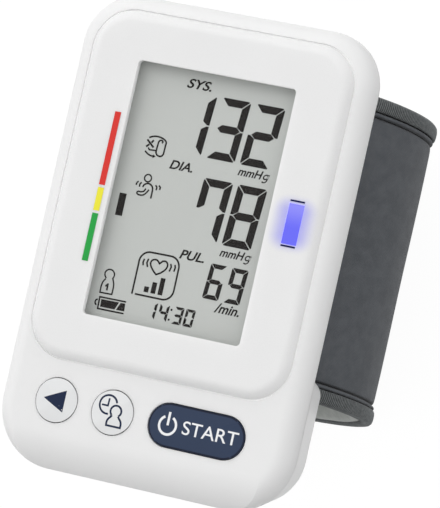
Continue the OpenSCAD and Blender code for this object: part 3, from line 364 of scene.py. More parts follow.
def arc(cx, cy, r, start, end, steps=14):
    """Points of an arc from one angle to another, in degrees."""
    angles = [radians(start + (end - start) * k / steps) for k in range(steps + 1)]
    return [(cx + r * cos(a), cy + r * sin(a)) for a in angles]


def stroke(points, width, closed=False):
    """Outlines of a line of even width through points."""
    count = len(points)
    sides = ([], [])
    for k, (x, y) in enumerate(points):
        before = points[k - 1] if closed or k else None
        after = points[(k + 1) % count] if closed or k < count - 1 else None
        lines = []
        for a, b in ((before, (x, y)), ((x, y), after)):
            if a is not None and b is not None:
                length = hypot(b[0] - a[0], b[1] - a[1])
                lines.append(((b[0] - a[0]) / length, (b[1] - a[1]) / length))
        tx, ty = (sum(c) for c in zip(*lines))
        length = hypot(tx, ty)
        tx, ty = tx / length, ty / length
        mitre = max(tx * lines[0][0] + ty * lines[0][1], 0.5)
        reach = width / 2 / mitre
        sides[0].append((x - ty * reach, y + tx * reach))
        sides[1].append((x + ty * reach, y - tx * reach))
    if closed:
        return [sides[0], sides[1]]
    return [sides[0] + sides[1][::-1]]


SEGMENTS = {"0": "abcdef", "1": "bc", "2": "abged", "3": "abgcd", "4": "fgbc", "6": "afgecd",
            "7": "fabc", "8": "abcdefg", "9": "abfgcd"}


def digit(sign, x, y, w, h, t, gap):
    """Seven-segment outlines of one digit whose cell starts at x, y."""
    m, half, c = h / 2, t / 2, t * 0.3
    top = [(c, h), (w - c, h), (w - (c + gap) / 2, h - (c - gap) / 2), (w - t - gap, h - t),
           (t + gap, h - t), ((c + gap) / 2, h - (c - gap) / 2)]
    side = [(0, m + gap), (0, h - c), ((c - gap) / 2, h - (c + gap) / 2), (t, h - t - gap),
            (t, m + half + gap * 0.4), (half * 0.7, m + gap)]
    nose = half * 0.7 + gap * 1.2
    shoulder = t + gap * 0.2
    middle = [(nose, m), (shoulder, m + half), (w - shoulder, m + half), (w - nose, m),
              (w - shoulder, m - half), (shoulder, m - half)]
    low_side = [(px, h - py) for px, py in side]
    shapes = {"a": top, "d": [(px, h - py) for px, py in top], "g": middle, "f": side,
              "e": low_side, "b": [(w - px, py) for px, py in side],
              "c": [(w - px, py) for px, py in low_side]}
    return [[(x + px + py * LEAN, y + py) for px, py in shapes[s]] for s in SEGMENTS[sign]]


def through(points, steps=5):
    """Points of a smooth line through the given ones."""
    last = len(points) - 1
    line = []
    for k in range(last):
        corners = [points[min(max(k + j, 0), last)] for j in (-1, 0, 1, 2)]
        for step in range(steps):
            u = step / steps
            line.append(tuple(
                0.5 * (2 * b + (c - a) * u + (2 * a - 5 * b + 4 * c - d) * u ** 2
                       + (3 * b - a - 3 * c + d) * u ** 3) for a, b, c, d in zip(*corners)))
    return line + [points[-1]]


# rows of digits: foot, then width, height, stroke and gap, then each sign with its left edge
DIGITS = (
    (17.2, (5.75, 11.4, 1.42, 0.11), (("1", -6.3), ("3", 0.45), ("2", 7.2))),
    (2.2, (5.75, 11.4, 1.42, 0.11), (("7", 0.45), ("8", 7.2))),
    (-7.9, (3.2, 6.5, 0.82, 0.07), (("6", 5.75), ("9", 9.95))),
    (-13.62, (1.85, 3.2, 0.5, 0.06), (("1", -4.33), ("4", -1.95), ("3", 0.95), ("0", 3.2))),
)
lcd_shapes = []
for foot, size, row in DIGITS:
    for sign, x in row:
        lcd_shapes += digit(sign, x, foot, *size)
for x, y in ((0.2, -13.2), (0.33, -11.35)):
    lcd_shapes.append(rect(x, x + 0.36, y, y + 0.36))

# signs: level mark, then lines with their widths
lcd_shapes.append(rect(-14.5, -13.1, 3.7, 7.88))
LINES = (
    # pulse frame and the beats beside its heart
    (0.33, [(-7.79, -9.8), (-7.79, -3.8)] + arc(-5.85, -3.65, 1.95, 180, 90)
     + arc(-1.83, -3.6, 1.95, 90, 0) + arc(-1.82, -7.75, 1.95, 0, -90) + [(-7.2, -9.7)]),
    (0.31, [(-6.85, -3.1), (-6.99, -3.72), (-6.85, -4.32)]),
    (0.31, [(-6.06, -2.92), (-6.23, -3.71), (-5.93, -4.46)]),
    (0.31, [(-1.6, -3.03), (-1.38, -3.58), (-1.58, -4.46)]),
    (0.31, [(-0.75, -3.06), (-0.58, -3.58), (-0.69, -4.32)]),
    # user
    (0.28, through([(-13.39, -8.0), (-13.77, -7.49), (-13.82, -6.95), (-13.54, -6.51),
                    (-13.05, -6.29), (-12.47, -6.39), (-12.05, -6.78), (-11.94, -7.3),
                    (-12.11, -7.84)])
     + through([(-11.89, -8.26), (-11.68, -8.82), (-11.6, -9.6)])
     + [(-11.63, -10.7), (-14.01, -10.75)]
     + through([(-14.03, -9.5), (-13.85, -8.7), (-13.39, -8.0)])[:-1]),
    # battery
    (0.3, [(-8.51, -11.5), (-13.81, -11.55), (-13.75, -13.73), (-8.52, -13.68)]),
    (0.3, through([(-14.1, -12.07), (-14.45, -12.3), (-14.47, -12.86), (-14.12, -13.13)])),
    # cuff to be turned
    (0.36, [(-11.49, 18.39), (-9.97, 17.14)]),
    (0.31, through([(-11.22, 18.8), (-10.49, 19.13), (-9.77, 19.26), (-9.0, 19.2),
                    (-8.23, 18.95), (-7.73, 18.51), (-7.73, 18.0)])
     + [(-7.77, 16.3)] + through([(-7.98, 15.93), (-8.4, 15.76), (-8.96, 15.91),
                                  (-9.3, 16.35)]) + [(-9.28, 17.37)]
     + through([(-9.2, 18.33), (-9.04, 18.59), (-8.71, 18.71), (-8.4, 18.5), (-8.5, 18.2)])),
    (0.22, [(-8.38, 18.15), (-7.88, 18.05)]),
    (0.28, [(-11.0, 16.96), (-10.67, 16.6), (-9.46, 16.67)]),
    (0.31, through([(-11.46, 16.25), (-10.86, 15.84), (-10.21, 15.6), (-9.76, 15.56)])),
    # person who moves
    (0.31, through([(-10.34, 9.66), (-10.1, 10.17), (-9.53, 10.48), (-8.98, 10.42),
                    (-8.5, 10.04), (-8.32, 9.51), (-8.29, 8.57), (-8.3, 7.88)])),
    (0.29, through([(-9.67, 9.51), (-9.91, 8.98), (-10.45, 8.76), (-11.02, 8.74),
                    (-11.22, 8.44), (-10.89, 8.18), (-10.14, 8.17), (-9.63, 8.47),
                    (-9.21, 9.05), (-9.0, 9.4)])),
    (0.3, through([(-11.36, 10.57), (-11.62, 10.25), (-11.69, 9.81)])),
    (0.3, through([(-10.71, 10.48), (-10.98, 10.12), (-10.97, 9.59)])),
    (0.3, through([(-7.93, 10.45), (-7.6, 10.11), (-7.63, 9.57)])),
    (0.3, through([(-7.28, 10.52), (-6.94, 10.23), (-6.97, 9.75)])),
)
for width, points in LINES:
    lcd_shapes += stroke(points, width)
# heart, the moving person's head, the pulse bars and the crossed ring at the cuff
lcd_shapes += stroke(
    through([(-3.76, -3.42), (-4.28, -2.92), (-4.82, -2.84), (-5.34, -3.13), (-5.5, -3.68),
             (-5.24, -4.25), (-4.63, -4.95), (-3.98, -5.48)])
    + through([(-3.26, -5.1), (-2.53, -4.45), (-2.16, -3.79), (-2.21, -3.17), (-2.66, -2.79),
               (-3.23, -2.86)]), 0.32, closed=True)
lcd_shapes += stroke(arc(-9.69, 11.45, 0.68, 0, 345, 22), 0.27, closed=True)
for x, top in ((-5.66, -7.97), (-4.27, -6.92), (-2.85, -5.87)):
    lcd_shapes.append(rect(x, x + 0.92, -9, top))
for x, y in ((-10.22, 18.46), (-11.46, 17.06)):
    way = 1 if y > 17.7 else -1
    lcd_shapes += stroke([(x, y), (-10.73 + way * 0.16, 17.77 + way * 0.17)], 0.36)
# filled: the cuff's arrow, the user's number and the battery's two cells
lcd_shapes += [
    [(-9.76, 15.2), (-9.15, 15.58), (-9.76, 15.93)],
    [(-13.27, -9.27), (-12.9, -8.86), (-12.64, -8.86), (-12.6, -10.17), (-12.95, -10.17),
     (-12.97, -9.45), (-13.22, -9.58)],
    [(-13.42, -11.9), (-9.85, -11.85), (-10.45, -13.28), (-13.36, -13.32)],
    [(-9.52, -11.85), (-8.6, -11.85), (-8.5, -13.27), (-10.15, -13.28)],
]

lcd_ink = finish("lcd_ink", ("1D1A19", "221F1E"), 0.5, bump=0.002, Specular_IOR_Level=0.1)


def ink(piece, material, body, covers=()):
    """Gives a printed or cut shape its material and the body it moves with."""
    piece.data.materials.clear()
    piece.data.materials.append(material)
    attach(piece, body)
    if covers:
        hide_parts(*covers)
    return piece


def lettering(name, words, box, z, lean=0.0, weight=0.022):
    """Words fitted to a box of millimetres, x0, x1, y0, y1, at height z."""
    bpy.ops.object.select_all(action="DESELECT")
    bpy.ops.object.text_add()
    piece = bpy.context.object
    piece.data.body = words
    piece.data.shear = lean
    piece.data.extrude = 0.01
    piece.data.offset = weight
    bpy.ops.object.convert(target="MESH")
    piece = bpy.context.object
    piece.name = name
    low = [min(v.co[k] for v in piece.data.vertices) for k in range(3)]
    high = [max(v.co[k] for v in piece.data.vertices) for k in range(3)]
    x0, x1, y0, y1 = box
    piece.scale = ((x1 - x0) * MM / (high[0] - low[0]), (y1 - y0) * MM / (high[1] - low[1]),
                   INK * MM / (high[2] - low[2]))
    piece.location = (x0 * MM - low[0] * piece.scale.x, y0 * MM - low[1] * piece.scale.y,
                      z * MM)
    settle(piece)
    return piece


# the unit's last letter, which hangs below its line in each of two places
for foot in (15.2, 0.15):
    letter_g = stroke(arc(12.6, foot + 0.6, 0.42, 0, 350, 14), 0.23, closed=True)
    letter_g += stroke([(13.05, foot + 1.1)] + arc(12.6, foot, 0.45, 0, -140, 8), 0.23)
    lcd_shapes += [[(x + WORD_LEAN * (y - foot), y) for x, y in shape] for shape in letter_g]
ink(flat_shape("lcd_figures", lcd_shapes, LCD_TOP + INK / 2), lcd_ink, "monitor")
LCD_WORDS = (
    ("lcd_word_sys", "SYS.", (-6.2, -1.3, 29.1, 30.9)),
    ("lcd_word_dia", "DIA.", (-6.1, -1.5, 13.95, 15.65)),
    ("lcd_word_pul", "PUL.", (-0.3, 4.6, -1.75, 0)),
    ("lcd_word_mmhg_upper", "mmH", (7.25, 12.15, 15.2, 16.75)),
    ("lcd_word_mmhg_lower", "mmH", (7.25, 12.15, 0.15, 1.7)),
    ("lcd_word_per_minute", "/min.", (8.6, 13.5, -10, -8.15)),
)
for name, words, box in LCD_WORDS:
    piece = lettering(name, words, box, LCD_TOP + INK / 2, lean=WORD_LEAN)
    ink(piece, lcd_ink, "monitor")

# Prints on the panel: the three-colour level bar left of the window and the two fine lines
# over and under the status light, pad-printed and slightly glossy.
BAR_LEFT, BAR_RIGHT = -18.03, -16.83
BAR_PARTS = (("level_bar_red", 8.47, 22.17, "D93A34"),
             ("level_bar_yellow", 3.67, 7.97, "EFE843"),
             ("level_bar_green", -5.73, 3.17, "2AA147"))
for name, y0, y1, code in BAR_PARTS:
    piece = flat_shape(name, [rect(BAR_LEFT, BAR_RIGHT, y0, y1)], PANEL_TOP + INK / 2)
    ink(piece, finish(name, (code, code), 0.4, bump=0.004, Specular_IOR_Level=0.2),
        "monitor")
piece = flat_shape("light_lines", [rect(19.2, 22, 12.36, 12.68), rect(19.2, 22, 4.08, 4.4)],
                   PANEL_TOP + INK / 2)
ink(piece, finish("blue_print", ("14184A", "171C50"), 0.4, bump=0.004, Specular_IOR_Level=0.1),
    "monitor")

# Buttons: two round caps in the case's white and one long navy cap, each with its sign printed
# on its dome. The caps slide in the front shell over the switches' plungers.
KEY_Y, KEY_TOP = -31.7, 62.8
KEY_DOME_R = 22
# each key's middle and the radius of its dome along it
KEYS = {"memory_key": (-17.35, KEY_DOME_R), "clock_key": (-6.05, KEY_DOME_R),
        "start_key": (10.7, 120)}
START_HALF, START_RIM = 5.5, (3.93, 3.68)
PRINT_CUT, PRINT_LIFT, RIM_LIFT = 0.6, 0.012, 0.006

key_finish = finish("key_white", ("E6E7E7", "E1E2E3"), 0.32, bump=0.01)
wear(key_finish, "memory_button", "clock_button")
start_finish = finish("key_navy", ("1F2F4B", "233450"), 0.36, bump=0.012, grain_scale=4000,
                      Specular_IOR_Level=0.25, Coat_Weight=0.3, Coat_Roughness=0.15)
wear(start_finish, "start_button")


def edit(piece, action="SELECT"):
    """Opens a piece in edit mode with all of it selected, or nothing."""
    only(piece)
    bpy.ops.object.mode_set(mode="EDIT")
    bpy.ops.mesh.select_all(action=action)


def leave():
    bpy.ops.object.mode_set(mode="OBJECT")


def lay_on_key(piece, key, material, lift=PRINT_LIFT):
    """Cuts a flat print into small faces, lays it on the dome of its key and inks it."""
    middle, end_r = KEYS[key]
    edit(piece)
    for normal, reach, start in ((Vector((1, 0, 0)), 9, middle), (Vector((0, 1, 0)), 4, KEY_Y)):
        cuts = int(reach / PRINT_CUT)
        for k in range(-cuts, cuts + 1):
            bpy.ops.mesh.select_all(action="SELECT")
            bpy.ops.mesh.bisect(plane_co=normal * ((start + PRINT_CUT * k) * MM),
                                plane_no=normal, threshold=1e-7)
    leave()
    floor_z = min(v.co.z for v in piece.data.vertices)
    for v in piece.data.vertices:
        dx, dy = v.co.x / MM - middle, v.co.y / MM - KEY_Y
        fall = max(KEY_DOME_R - sqrt(KEY_DOME_R ** 2 - dy ** 2),
                   end_r - sqrt(end_r ** 2 - dx ** 2))
        v.co.z += (KEY_TOP + lift - INK - fall) * MM - floor_z
    ink(piece, material, key)


navy_print = finish("navy_print", ("1D2740", "222D49"), 0.4, bump=0.004, Specular_IOR_Level=0.15)
triangle = [(-19.85, -31.65), (-15.6, -33.7), (-15.6, -29.6)]
clock_face = stroke(arc(-7.05, -30.4, 1.72, -78, -342, 30), 0.36)
hands = stroke([(-7.05, -29.25), (-7.05, -30.62), (-8.3, -30.62)], 0.32)
head = stroke(arc(-5.28, -31.35, 1.05, -128, -412, 26), 0.36)
bust = ([(-5.85, -32.2)] + arc(-5.25, -33.7, 1.42, 120, 180, 8)[1:] + [(-6.65, -34.15),
        (-3.85, -34.15)] + arc(-5.25, -33.7, 1.42, 0, 60, 8)[:-1] + [(-4.65, -32.2)])
SIGNS = (("memory_sign", "memory_key", [triangle]),
         ("clock_sign", "clock_key", clock_face + hands),
         ("user_sign", "clock_key", head + stroke(bust, 0.36)))
for name, key, outlines in SIGNS:
    lay_on_key(flat_shape(name, outlines, KEY_TOP), key, navy_print)

white_print = finish("white_print", ("F2F3F4", "ECEDEF"), 0.4, bump=0.004)
# the dark ring along the long cap's edge: its darker border, with painted shade of the gap round
# it
rim_border_and_painted_shade = finish("dark_rim", ("141A2C", "181F33"), 0.4, bump=0.006, Specular_IOR_Level=0.2)
power = stroke(arc(5.1, -31.75, 1.68, 118, 422, 30), 0.46) + [rect(4.87, 5.33, -31.75, -29.3)]
lay_on_key(flat_shape("power_sign", power, KEY_TOP), "start_key", white_print)
word = lettering("start_word", "START", (8.1, 18.95, -32.78, -30.3), KEY_TOP, weight=0.004)
lay_on_key(word, "start_key", white_print)
start_x = KEYS["start_key"][0]
rim = [arc(start_x + START_HALF, KEY_Y, r, -90, 90, 20)
       + arc(start_x - START_HALF, KEY_Y, r, 90, 270, 20) for r in START_RIM]
lay_on_key(flat_shape("start_rim", rim, KEY_TOP), "start_key", rim_border_and_painted_shade, RIM_LIFT)

# Inside the case: the green circuit board with its switches, chip, small parts, sensor and
# buzzer, the LCD's frame and rubber strips, the clamp plate and the screws.
INSIDE = (
    ("board_laminate", ("2E7D4F", "276F45"), 0.45, 0, ("main_board",)),
    ("black_resin", ("242527", "2C2D30"), 0.5, 0, ("control_chip", "buzzer", "pump_motor_cap")),
    ("ceramic_parts", ("B79C72", "A98C62"), 0.5, 0, ("board_parts",)),
    ("switch_steel", ("C9CBCD", "BCBEC1"), 0.3, 1, ("switch_bases", "valve_frame")),
    ("switch_plastic", ("3A3B3E", "434447"), 0.5, 0,
     ("memory_switch_plunger", "clock_switch_plunger", "start_switch_plunger")),
    ("frame_white", ("E4E3DE", "DCDBD6"), 0.5, 0,
     ("lcd_frame", "air_manifold", "cuff_air_nipple", "pump_head", "pump_cover")),
    ("rubber_strips", ("4A4A4B", "555556"), 0.7, 0, ("lcd_connector_strips",)),
    ("sensor_body", ("D7D8D9", "CCCDCF"), 0.35, 0, ("pressure_sensor",)),
    ("soft_tube", ("C9CCCB", "BFC3C2"), 0.35, 0, ("pump_tube", "valve_tube")),
    ("diaphragm_rubber", ("6E2A26", "7A302B"), 0.65, 0, ("pump_diaphragm",)),
    ("drawn_can", ("C4C6C8", "B7B9BC"), 0.28, 1, ("pump_motor_can",)),
    ("rotor_brass", ("B08B45", "A27E3C"), 0.35, 1, ("pump_rotor",)),
    ("copper_winding", ("9A4F2A", "B0603A"), 0.4, 1, ("valve_coil",)),
    ("plated_steel", ("BFC1C4", "AEB0B4"), 0.32, 1,
     ("valve_plunger", "battery_springs", "battery_contacts", "case_screws", "cuff_screws")),
    ("clamp_plastic", ("D2D3D4", "C8C9CB"), 0.5, 0, ("cuff_plate",)),
)
for name, tones, roughness, metallic, node_names in INSIDE:
    wear(finish(name, tones, roughness, bump=0.015, grain_scale=3000, Metallic=metallic),
         *node_names)

# Battery cells: two AAA cells side by side, each a steel can in a dark plastic sleeve that
# leaves the metal bare at both ends.
SLEEVE_END = 20.6
cell_finish = finish("cell_sleeve", ("3B4048", "43484F"), 0.35, bump=0.004)
tree, shader = opened(cell_finish)
apart = add(tree, "SeparateXYZ", add(tree, "TexCoord").outputs["Object"]).outputs
bare = maths(tree, "GREATER_THAN", maths(tree, "ABSOLUTE", apart["X"]), SLEEVE_END * MM)
sleeve = mixed(tree, bare, tree.nodes["tint"].outputs[2], colour("B9BBBE"))
tree.links.new(sleeve, shader["Base Color"])
tree.links.new(bare, shader["Metallic"])
wear(cell_finish, "battery_cell_near", "battery_cell_far")

# Cuff cover: dark grey stretch fabric over the preformed cuff, smooth and slightly mottled,
# drawn tight between the two bound rims, with a rolled welt beside each binding.
CUFF_Y, CUFF_Z = 6.2, 23.8
CUFF_LEAN = radians(4.6)
CUFF_FLAT = 23.8
SIDE_X, SIDE_R = 6, 22
LONG_Z, LONG_R = 4.5, 29.5
MEET = degrees(atan2(SIDE_R * 0.6, SIDE_R * 0.8))
GAP_END, GAP_START = 206, 182
NEAR_STRETCH = 1.012
# the cuff's outline from the lower side of its gap round to the upper side: each arc's middle,
# radius and first and last angle
CUFF_ARCS = (
    (-SIDE_X, 0, SIDE_R, GAP_END, 180 + MEET),
    (0, LONG_Z, LONG_R, 180 + MEET, 360 - MEET),
    (SIDE_X, 0, SIDE_R, 360 - MEET, 360 + MEET),
    (0, -LONG_Z, LONG_R, 360 + MEET, 540 - MEET),
    (-SIDE_X, 0, SIDE_R, 540 - MEET, 360 + GAP_START),
)
ARC_STARTS = [sum(r * radians(end - start) for _, _, r, start, end in CUFF_ARCS[:k])
              for k in range(6)]
CUFF_LENGTH = ARC_STARTS[5]
GAP_SLOPE = tan(radians((GAP_START + GAP_END) / 2))


def unroll(x, z):
    """Distance along the cuff's outline, height over it and the outward direction at a point
    given in millimetres from the cuff's middle."""
    if abs(z) <= (abs(x) - SIDE_X) * 0.75 + 1e-4:
        k = 2 if x > 0 else 4 if z > (x + SIDE_X) * GAP_SLOPE else 0
    else:
        k = 3 if z > 0 else 1
    cx, cz, r, start, end = CUFF_ARCS[k]
    angle = degrees(atan2(z - cz, x - cx))
    angle += 360 * round(((start + end) / 2 - angle) / 360)
    distance = hypot(x - cx, z - cz)
    way = Vector((x - cx, 0, z - cz)) / distance
    return ARC_STARTS[k] + r * radians(angle - start), distance - r, way


def roll_up(piece, pitch, arcs=CUFF_ARCS):
    """Spins the piece's first line of edges round the cuff's outline."""
    edit(piece)
    for cx, cz, r, start, end in arcs:
        sweep = radians(end - start)
        bpy.ops.mesh.spin(steps=max(2, ceil(r * sweep / pitch)), angle=sweep,
                          center=(cx * MM, 0, cz * MM), axis=(0, 1, 0), use_auto_merge=False)
    bpy.ops.mesh.select_all(action="SELECT")
    bpy.ops.mesh.remove_doubles(threshold=1e-7)
    leave()


def first_line(name, profile, arcs=CUFF_ARCS, closed=False):
    """Line of edges across the cuff at the start of its outline. The profile holds places
    across the cuff and heights over its outline."""
    bpy.ops.object.select_all(action="DESELECT")
    bpy.ops.mesh.primitive_circle_add(vertices=len(profile), radius=0.01)
    piece = bpy.context.object
    piece.name = name
    cx, cz, r, start, _ = arcs[0]
    a = radians(start)
    for v, (across, height) in zip(piece.data.vertices, profile):
        v.co = Vector((cx + (r + height) * cos(a), across, cz + (r + height) * sin(a))) * MM
    if not closed:
        edit(piece, "DESELECT")
        leave()
        ends = {0, len(profile) - 1}
        for edge in piece.data.edges:
            edge.select = set(edge.vertices) == ends
        bpy.ops.object.mode_set(mode="EDIT")
        bpy.ops.mesh.delete(type="EDGE_FACE")
        leave()
    return piece


def on_cuff(x, across, z):
    """The part's own place for a point given from the cuff's middle, which leans."""
    return Vector((x, CUFF_Y + across / cos(CUFF_LEAN) + z * tan(CUFF_LEAN), CUFF_Z + z)) * MM


def set_on_cuff(piece, lift=0.0):
    """Moves a finished form from the cuff's own middle to its place: its underside flattened,
    its near half a little longer, its rims leaning, all of it on the cuff's middle."""
    for v in piece.data.vertices:
        x, across, z = v.co / MM
        z = max(z, -CUFF_FLAT - min(unroll(x, z)[1], 0) + lift)
        v.co = on_cuff(x, across * (NEAR_STRETCH if across < 0 else 1), z)


def rolled(piece):
    """Points of a rolled form, each with its distance along the cuff's outline, its place across
    it, its height over it and the outward direction there."""
    for v in piece.data.vertices:
        x, across, z = v.co / MM
        s, height, way = unroll(x, z)
        yield v, s, across, height, way


def swell(piece, height_of):
    """Moves each point of a rolled form to the height that its place asks for."""
    for v, s, across, height, way in rolled(piece):
        v.co += way * (height_of(s, across, height) - height) * MM


def outward(piece):
    """Points a sheet's faces away from the cuff's middle."""
    edit(piece)
    bpy.ops.mesh.normals_make_consistent(inside=False)
    leave()
    if sum(f.normal.x * f.center.x + f.normal.z * f.center.z for f in piece.data.polygons) <= 0:
        edit(piece)
        bpy.ops.mesh.flip_normals()
        leave()


def lay_cloth_map(piece):
    """UV map in metres: along the cuff's outline and across it."""
    layer = piece.data.uv_layers.new(name="cloth")
    for loop in piece.data.loops:
        x, across, z = piece.data.vertices[loop.vertex_index].co / MM
        layer.data[loop.index].uv = (unroll(x, z)[0] * MM, across * MM)


def modified(piece, kind, **values):
    """Adds a modifier and applies it."""
    only(piece)
    modifier = piece.modifiers.new(kind.lower(), kind)
    for name, value in values.items():
        setattr(modifier, name, value)
    bpy.ops.object.modifier_apply(modifier=modifier.name)


def smooth(piece, angle=50):
    """Shades a piece smooth, but for edges sharper than an angle in degrees."""
    only(piece)
    bpy.ops.object.shade_smooth_by_angle(angle=radians(angle))


WELT = ((24.25, -0.06), (24.55, -0.1), (24.7, -0.36), (24.8, -0.78), (24.94, -0.84),
        (25.04, -0.4), (25.14, 0.02), (25.34, 0.22), (25.52, 0.22), (25.68, 0.02),
        (25.78, -0.4), (25.88, -0.7), (26.05, -0.74), (26.3, -0.5))
between = [(-23.6 + 1.475 * k, -0.06) for k in range(33)]
cover_profile = [(-c, h) for c, h in WELT[::-1]] + between + list(WELT)


def cover_height(s, across, height):
    """The fabric lies slightly slack between its rims and puckers where it is sewn."""
    rim = 24.1 - abs(across)
    if rim < 0:
        return height
    slack = 0.05 * sin(s * 0.21 + across * 0.07) + 0.04 * sin(s * 0.43 - across * 0.19 + 1.3)
    pucker = 0.06 * sin(s * 2.4 + 0.8 * sin(s * 0.61 + across * 0.3)) * 2 ** (-rim / 1.1)
    return height + 0.06 + slack * min(1, rim / 4) + pucker


cover = first_line("cuff_cover", cover_profile)
roll_up(cover, 1.3)
outward(cover)
swell(cover, cover_height)
lay_cloth_map(cover)
set_on_cuff(cover)
modified(cover, "SOLIDIFY", thickness=0.8 * MM, offset=-1)
modified(cover, "SUBSURF", levels=1, render_levels=1)
smooth(cover, 60)

# Knit: loops in rows at the fabric's own pitch, read from the cloth's own map.
CLOTH_TONES = ("53565A", "5C5F63")
knit, given, wanted = effect(
    "fine_knit", (("Vector", "NodeSocketVector", (0, 0, 0)), ("Pitch", "NodeSocketFloat", 2500)),
    ("Height", "Tone"))
apart = add(knit, "SeparateXYZ", given["Vector"]).outputs
waves = []
for axis, quarter in (("X", 0), ("Y", 1.57)):
    step = maths(knit, "MULTIPLY", apart[axis], given["Pitch"])
    waves.append(maths(knit, "SINE", maths(knit, "MULTIPLY_ADD", step, 2 * pi, quarter)))
place = add(knit, "TexCoord").outputs["Object"]
fuzz = add(knit, "TexNoise", place, Scale=1800, Detail=3).outputs["Fac"]
mottle = add(knit, "TexNoise", place, Scale=420, Detail=4, Roughness=0.6).outputs["Fac"]
loops = maths(knit, "ADD", maths(knit, "MULTIPLY", *waves), fuzz)
knit.links.new(loops, wanted["Height"])
knit.links.new(mottle, wanted["Tone"])


def cloth_map(tree):
    return add(tree, "UVMap", uv_map="cloth").outputs["UV"]


def cloth_finish(name):
    """Fabric material with the knit in its colour and its relief."""
    material = finish(name, CLOTH_TONES, 0.85, bump=0.06, Sheen_Weight=0.25, Sheen_Roughness=0.4,
                      Specular_IOR_Level=0.2)
    tree = material.node_tree
    fabric = add(tree, "Group", node_tree=knit, Vector=cloth_map(tree)).outputs
    spread = span(tree, fabric["Tone"], 0.35, 0.65)
    tree.links.new(spread, tree.nodes["tint"].inputs["Factor"])
    tree.links.new(fabric["Height"], tree.nodes["emboss"].inputs["Height"])
    return material


def paint_shading(material, tone):
    """Multiplies a finish's two tones by a grey tone of painted shade and highlight that changes
    over the surface.
    """
    tree, shader = opened(material)
    tint = tree.nodes["tint"].outputs[2]
    tree.links.new(mixed(tree, 1, tint, tone, blend_type="MULTIPLY"), shader["Base Color"])


# painted shade and dust in the folds beside the welt, a painted highlight on its ridge: their
# tones, from one line across to another
CREASES_FROM, CREASES_TO = 24, 26.5
CREASE_SHADE_AND_HIGHLIGHT = ((0.2, 1), (0.33, 0.3), (0.38, 0.3), (0.48, 1.15), (0.64, 1.15), (0.74, 0.35), (1, 0.3))
cover_finish = cloth_finish("cuff_fabric")
tree = cover_finish.node_tree
side = maths(tree, "ABSOLUTE", add(tree, "SeparateXYZ", cloth_map(tree)).outputs["Y"])
painted_crease = add(tree, "ValToRGB", span(tree, side, CREASES_FROM * MM, CREASES_TO * MM))
ramp = painted_crease.color_ramp.elements
for k, (spot, tone) in enumerate(CREASE_SHADE_AND_HIGHLIGHT):
    element = ramp[k] if k < 2 else ramp.new(spot)
    element.position, element.color = spot, (tone, tone, tone, 1)
paint_shading(cover_finish, painted_crease.outputs["Color"])
ink(cover, cover_finish, "monitor", ("cuff_fabric",))

# Rim bindings: ribbed grosgrain tape folded over the cuff's two rims and sewn. At the button
# end the tape stops where it runs under the battery housing.
RIB_PITCH, RIB_RISE, RIB_LEAN = 0.42, 0.09, 0.12
TAPE_MIDDLE, TAPE_DEPTH = 27.2, 0.6
TAPE = ((26, 0.0), (26.04, 0.24), (26.25, 0.4), (26.8, 0.46), (27.5, 0.46), (28.1, 0.34),
        (28.45, 0.0), (28.58, -0.5), (28.56, -1.05), (28.4, -1.5), (28.1, -1.72),
        (27.75, -1.66), (27.56, -1.35), (27.5, -0.95), (27.2, -0.62), (26.6, -0.5),
        (26.15, -0.36))
NOTCH_ANGLES = (57, 123)


def rib(piece, sign):
    """Raises the tape's ribs, which run across it and lean a little."""
    for v, s, across, height, way in rolled(piece):
        out = Vector((0, (abs(across) - TAPE_MIDDLE) * sign, 0)) + way * (height + TAPE_DEPTH)
        wave = cos(2 * pi * (s + RIB_LEAN * across) / RIB_PITCH)
        v.co += out.normalized() * RIB_RISE * wave * MM


def close_ends(piece):
    """Fills the two open ends of a rolled tube and points all faces outwards."""
    edit(piece, "DESELECT")
    bpy.ops.mesh.select_mode(type="EDGE")
    bpy.ops.mesh.select_non_manifold()
    bpy.ops.mesh.fill_holes(sides=0)
    bpy.ops.mesh.select_all(action="SELECT")
    bpy.ops.mesh.normals_make_consistent(inside=False)
    bpy.ops.mesh.select_mode(type="VERT")
    leave()


tape_finish = finish("binding_tape", ("4C4F50", "888C8D"), 0.8, bump=0.08, grain_scale=2600,
                     cloud_scale=1900, Sheen_Weight=0.2, Specular_IOR_Level=0.25)
near_right = CUFF_ARCS[:3] + ((0, -LONG_Z, LONG_R, 360 + MEET, 360 + NOTCH_ANGLES[0]),)
near_left = ((0, -LONG_Z, LONG_R, 360 + NOTCH_ANGLES[1], 540 - MEET), CUFF_ARCS[4])
RIMS = (
    ("far_{}", 1, CUFF_ARCS, ("far_binding",)),
    ("near_{}_right", -1, near_right, ("near_binding",)),
    ("near_{}_left", -1, near_left, ()),
)
tree = tape_finish.node_tree
# painted shade: the tape's colour is darkened in the furrows between its ribs
rate = 2 * pi / RIB_PITCH / MM
along = maths(tree, "DOT_PRODUCT", cloth_map(tree), (rate, RIB_LEAN * rate, 0), kind="VectorMath")
paint_shading(tape_finish, span(tree, maths(tree, "COSINE", along), -1, 0.6, 0.12, 1))
for name, sign, arcs, stands_for in RIMS:
    profile = [(sign * c, h) for c, h in TAPE[::sign]]
    tape = first_line(name.format("rim_tape"), profile, arcs=arcs, closed=True)
    roll_up(tape, RIB_PITCH / 4, arcs)
    close_ends(tape)
    lay_cloth_map(tape)
    rib(tape, sign)
    set_on_cuff(tape, lift=0.05)
    smooth(tape, 80)
    ink(tape, tape_finish, "monitor", stands_for)

